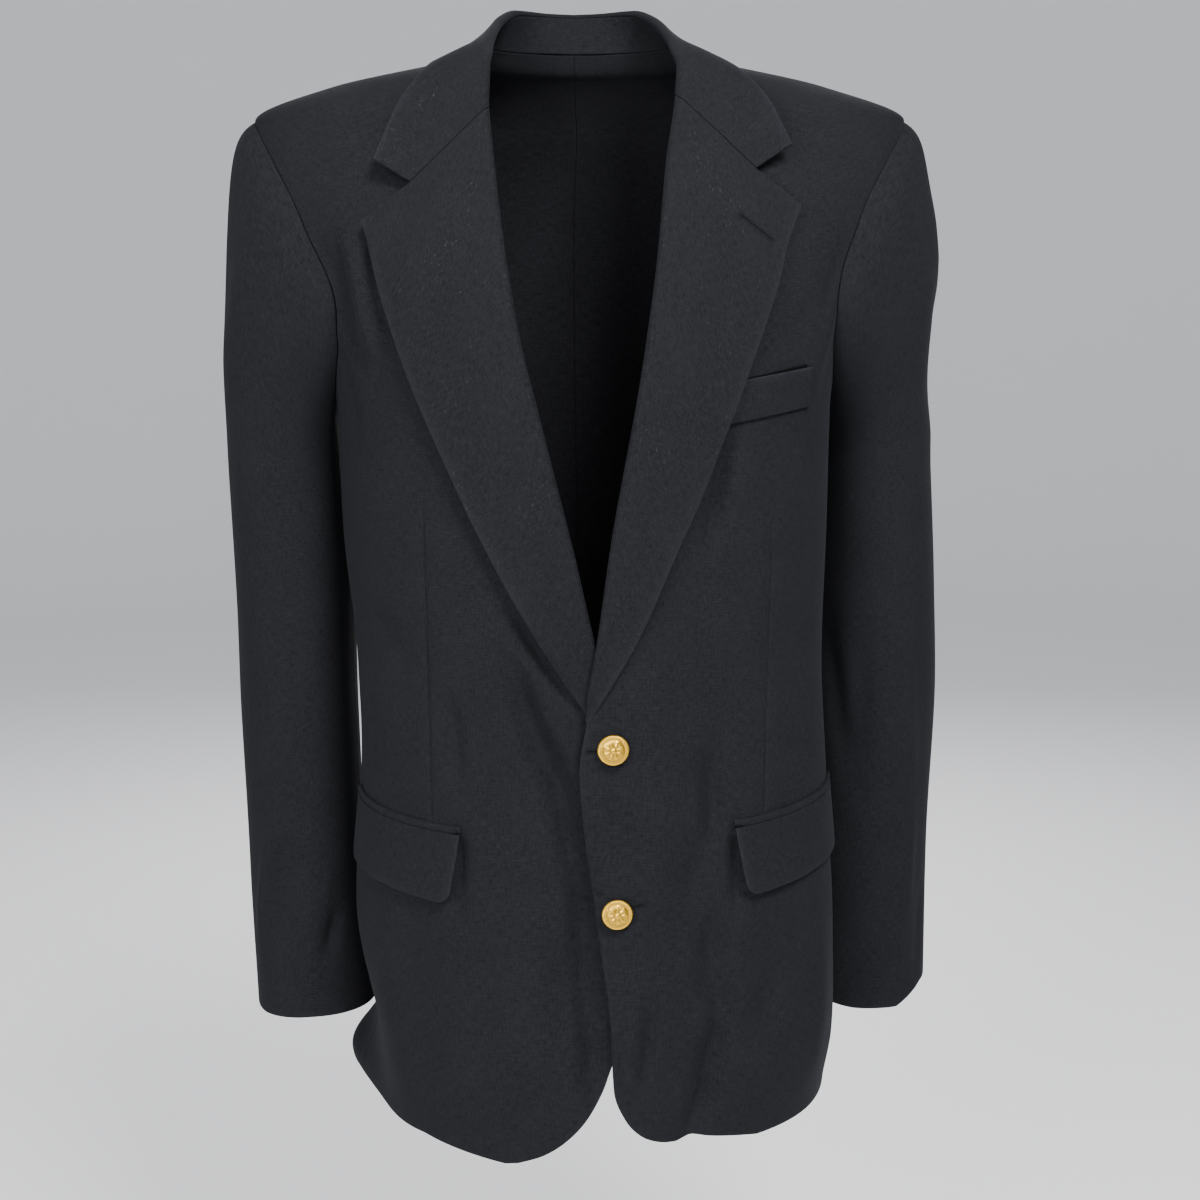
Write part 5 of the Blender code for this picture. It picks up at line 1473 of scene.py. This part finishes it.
def lint_group():
    """Curly short fibres and small specks of lint, thick in some places, absent in others."""
    tree, start, end = new_group("lint", {"Amount": 0.5}, ["Mask"])
    total = None
    for size, cut, thin in LINT_FIBRES:
        curl = stretched_noise(tree, size, size, 1.0)
        line = math_node(tree, "ABSOLUTE", math_node(tree, "SUBTRACT", curl, 0.5))
        line = math_node(tree, "LESS_THAN", line, thin)
        pieces = stretched_noise(tree, cut, 0.8 * cut, 0.0)
        short = math_node(tree, "GREATER_THAN", pieces, LINT_SHORT)
        fibre = math_node(tree, "MULTIPLY", line, short)
        total = fibre if total is None else math_node(tree, "MAXIMUM", total, fibre)
    grains = stretched_noise(tree, *LINT_SPECKS)
    specks = math_node(tree, "GREATER_THAN", grains, LINT_SPECKS_OVER)
    total = math_node(tree, "MAXIMUM", total, specks)
    patches = stretched_noise(tree, *LINT_PATCHES)
    spread = math_node(tree, "MULTIPLY", start.outputs["Amount"], LINT_SPREAD)
    bare = math_node(tree, "SUBTRACT", LINT_BARE, spread)
    here = math_node(tree, "SUBTRACT", patches, bare)
    here = math_node(tree, "MULTIPLY", here, LINT_PATCH_EDGE, clamp=True)
    tree.links.new(math_node(tree, "MULTIPLY", total, here), end.inputs["Mask"])
    return tree


def edge_highlight_group():
    """Painted highlight: a light line along free edges, broken up by a noise."""
    tree, start, end = new_group("painted_edge_highlight", {"Strength": 0.5}, ["Mask"])
    edge = node(tree, "ShaderNodeAttribute", attribute_name="edge")
    rough = stretched_noise(tree, 320.0, 320.0)
    highlight_mask = math_node(tree, "MULTIPLY", edge.outputs["Fac"], math_node(tree, "ADD", rough, 0.35))
    highlight_mask = math_node(tree, "MULTIPLY", highlight_mask, start.outputs["Strength"], clamp=True)
    tree.links.new(highlight_mask, end.inputs["Mask"])
    return tree


def placed(tree, group, **values):
    """Place a shader group in a material with its own values."""
    item = tree.nodes.new("ShaderNodeGroup")
    item.node_tree = group
    for key, value in values.items():
        item.inputs[key].default_value = value
    return item


def wool_material(name, groups):
    """Near-black worsted wool: weave, slubs, lint and painted highlights on free edges, with a
    soft nap.
    """
    material, tree, shader = new_material(name)
    lint, edge_highlight = WOOLS[name]
    weave = placed(tree, groups["weave"], Slub=SLUB)
    cloth = mix_colour(tree, weave.outputs["Shade"], WOOL_DARK, WOOL_LIGHT)
    # Painted highlight along free edges: the cloth lightened towards 1.7 times its light tone.
    highlit_edge = placed(tree, groups["edge_highlight"], Strength=edge_highlight)
    cloth = mix_colour(tree, highlit_edge.outputs["Mask"], cloth, tuple(1.7 * c for c in WOOL_LIGHT))
    specks = placed(tree, groups["lint"], Amount=lint)
    cloth = mix_colour(tree, specks.outputs["Mask"], cloth, LINT)
    tree.links.new(cloth, shader.inputs["Base Color"])
    bump = node(tree, "ShaderNodeBump", Strength=0.45, Distance=0.00022)
    tree.links.new(weave.outputs["Height"], bump.inputs["Height"])
    tree.links.new(bump.outputs[0], shader.inputs["Normal"])
    shader.inputs["Roughness"].default_value = 0.88
    shader.inputs["Specular IOR Level"].default_value = 0.04
    shader.inputs["Sheen Weight"].default_value = 0.015
    shader.inputs["Sheen Roughness"].default_value = 0.45
    shader.inputs["Sheen Tint"].default_value = (0.80, 0.86, 1.0, 1.0)
    return material


def thread_material():
    """Buttonhole thread, a little darker and smoother than the cloth."""
    material, tree, shader = new_material("buttonhole_thread")
    colour = mix_colour(tree, object_noise(tree, 2600.0), THREAD, WOOL_DARK)
    tree.links.new(colour, shader.inputs["Base Color"])
    shader.inputs["Roughness"].default_value = 0.85
    shader.inputs["Specular IOR Level"].default_value = 0.1
    return material


def slit_shade_material():
    """Painted shade inside a buttonhole or a pocket's mouth."""
    material, tree, shader = new_material("buttonhole_slit")
    colour = mix_colour(tree, object_noise(tree, 900.0), PAINTED_SLIT_SHADE_DEEP, PAINTED_SLIT_SHADE)
    tree.links.new(colour, shader.inputs["Base Color"])
    shader.inputs["Roughness"].default_value = 0.95
    shader.inputs["Specular IOR Level"].default_value = 0.02
    return material


def gold_material():
    """Gilt metal: bright where it is raised, brown in the hollows, with fine scratches."""
    material, tree, shader = new_material("gilt_metal")
    noise = object_noise(tree, 900.0, 3.0)
    hollow = node(tree, "ShaderNodeAttribute", attribute_name="hollow").outputs["Fac"]
    uneven = math_node(tree, "MULTIPLY", hollow, math_node(tree, "ADD", noise, 0.25))
    uneven = math_node(tree, "MULTIPLY", uneven, 0.85, clamp=True)
    # Darker and browner in the hollows of the relief.
    tree.links.new(mix_colour(tree, uneven, GOLD, GOLD_HOLLOW_BROWN), shader.inputs["Base Color"])
    rough = math_node(tree, "MULTIPLY_ADD", noise, GOLD_ROUGHNESS)
    rough.node.inputs[2].default_value = GOLD_ROUGHNESS
    rough = math_node(tree, "ADD", rough, math_node(tree, "MULTIPLY", uneven, 0.25))
    tree.links.new(rough, shader.inputs["Roughness"])
    shader.inputs["Metallic"].default_value = 1.0
    bump = node(tree, "ShaderNodeBump", Strength=0.12, Distance=0.0001)
    tree.links.new(noise, bump.inputs["Height"])
    tree.links.new(bump.outputs[0], shader.inputs["Normal"])
    return material


def plain_material(name, colour, roughness):
    """Plain matt material of the stage."""
    material, _, shader = new_material(name)
    shader.inputs["Base Color"].default_value = (*colour, 1.0)
    shader.inputs["Roughness"].default_value = roughness
    return material


# ---- stage ----


def add_stage():
    """Pale floor that curves up into a wall all round: a profile turned round the middle."""
    bend = np.linspace(0, math.pi / 2, 24)
    wall = STAGE_RADIUS + STAGE_BEND * np.sin(bend[1:])
    radius = np.concatenate([[0.02, 1.5, STAGE_RADIUS], wall])
    height = np.concatenate([[0.0, 0.0, 0.0], STAGE_BEND * (1 - np.cos(bend[1:]))])
    radius = np.append(radius, radius[-1])
    height = np.append(height, STAGE_HEIGHT) + FLOOR
    turn = np.linspace(0, 2 * math.pi, 96, endpoint=False)
    x = radius[:, None] * np.cos(turn)
    y = radius[:, None] * np.sin(turn)
    points = np.stack([x, y, np.repeat(height[:, None], turn.size, axis=1)], -1)
    index = np.arange(points.shape[0] * turn.size).reshape(points.shape[0], turn.size)
    faces = round_faces(index).tolist()
    faces.append(index[0][::-1].tolist())
    mesh = smooth_mesh("studio_floor", points, faces)
    mesh.materials.append(plain_material("studio_floor", PALE, 0.9))
    floor = bpy.data.objects.new("studio_floor", mesh)
    bpy.context.scene.collection.objects.link(floor)


def add_softbox(name, place, size, power):
    """Rectangular soft light that faces the middle of the coat."""
    light = bpy.data.lights.new(name, "AREA")
    light.shape = "RECTANGLE"
    light.size, light.size_y = size
    light.energy = power
    lamp = bpy.data.objects.new(name, light)
    back = unit(np.subtract(place, COAT_MIDDLE))
    right = unit(np.cross(np.array([0.0, 0.0, 1.0]), back))
    up = np.cross(back, right)
    turn = Matrix(np.stack([right, up, back], axis=1).tolist()).to_4x4()
    lamp.matrix_world = Matrix.Translation(place) @ turn
    bpy.context.scene.collection.objects.link(lamp)


def add_lights():
    """Studio light: soft boxes above, beside, in front and behind, in an even surround."""
    for name, place, size, power in SOFTBOXES:
        add_softbox(name, place, size, power)
    world = bpy.data.worlds.new("studio")
    bpy.context.scene.world = world
    world.use_nodes = True
    background = world.node_tree.nodes["Background"]
    background.inputs["Color"].default_value = (0.93, 0.95, 1.0, 1.0)
    background.inputs["Strength"].default_value = WORLD_STRENGTH


def add_camera():
    """Camera at the photograph's place and angle, with the pixel focal length as a lens."""
    pitch, yaw, roll = np.radians((CAMERA_PITCH, CAMERA_YAW, CAMERA_ROLL))
    forward = np.array([
        math.sin(yaw) * math.cos(pitch), math.cos(yaw) * math.cos(pitch), -math.sin(pitch),
    ])
    level_right = np.array([math.cos(yaw), -math.sin(yaw), 0.0])
    level_up = np.cross(level_right, forward)
    right = level_right * math.cos(roll) - level_up * math.sin(roll)
    up = level_up * math.cos(roll) + level_right * math.sin(roll)
    lens = bpy.data.cameras.new("camera")
    lens.sensor_width = SENSOR_MM
    lens.lens = SENSOR_MM * FOCAL_PIXELS / FRAME_PIXELS
    camera = bpy.data.objects.new("camera", lens)
    turn = Matrix(np.stack([right, up, -forward], axis=1).tolist()).to_4x4()
    camera.matrix_world = Matrix.Translation(CAMERA_PLACE) @ turn
    bpy.context.scene.collection.objects.link(camera)
    bpy.context.scene.camera = camera


def main():
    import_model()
    groups = {"weave": weave_group(), "lint": lint_group(), "edge_highlight": edge_highlight_group()}
    body_wool = wool_material("body_wool", groups)
    lapel_wool = wool_material("lapel_wool", groups)
    sleeve_wool = wool_material("sleeve_wool", groups)
    pocket_wool = wool_material("pocket_wool", groups)
    gilt = gold_material()
    thread = thread_material()
    # Painted shade for the buttonhole slits and the pocket's mouth.
    slit = slit_shade_material()
    for side in (LEFT, RIGHT):
        sew_front(side, body_wool)
        sew_back(side, body_wool)
        sew_side(side, body_wool)
        sew_lapel(side, lapel_wool)
        sew_sleeve_piece(side, "top_sleeve", UNDER_SLEEVE_TO - 360, UNDER_SLEEVE_FROM, sleeve_wool)
        sew_sleeve_piece(side, "under_sleeve", UNDER_SLEEVE_FROM, UNDER_SLEEVE_TO, sleeve_wool)
        sew_pocket(side, pocket_wool)
    sew_collar_stand(lapel_wool)
    sew_collar_fall(lapel_wool)
    sew_breast_welt(pocket_wool)
    add_pocket_mouth(slit)
    for node_name, spin in (("button_upper", 0.35), ("button_lower", 0.0)):
        out, height = BUTTONS[node_name]
        add_button(node_name, out, height, spin, gilt)
    add_buttonhole("lapel_buttonhole", LAPEL_HOLE, lapel_surface, True, thread, slit)
    add_buttonhole("upper_buttonhole", UPPER_HOLE, front_surface, True, thread, slit)
    add_buttonhole("lower_buttonhole", LOWER_HOLE, front_surface, True, thread, slit)
    add_stage()
    add_lights()
    add_camera()


main()
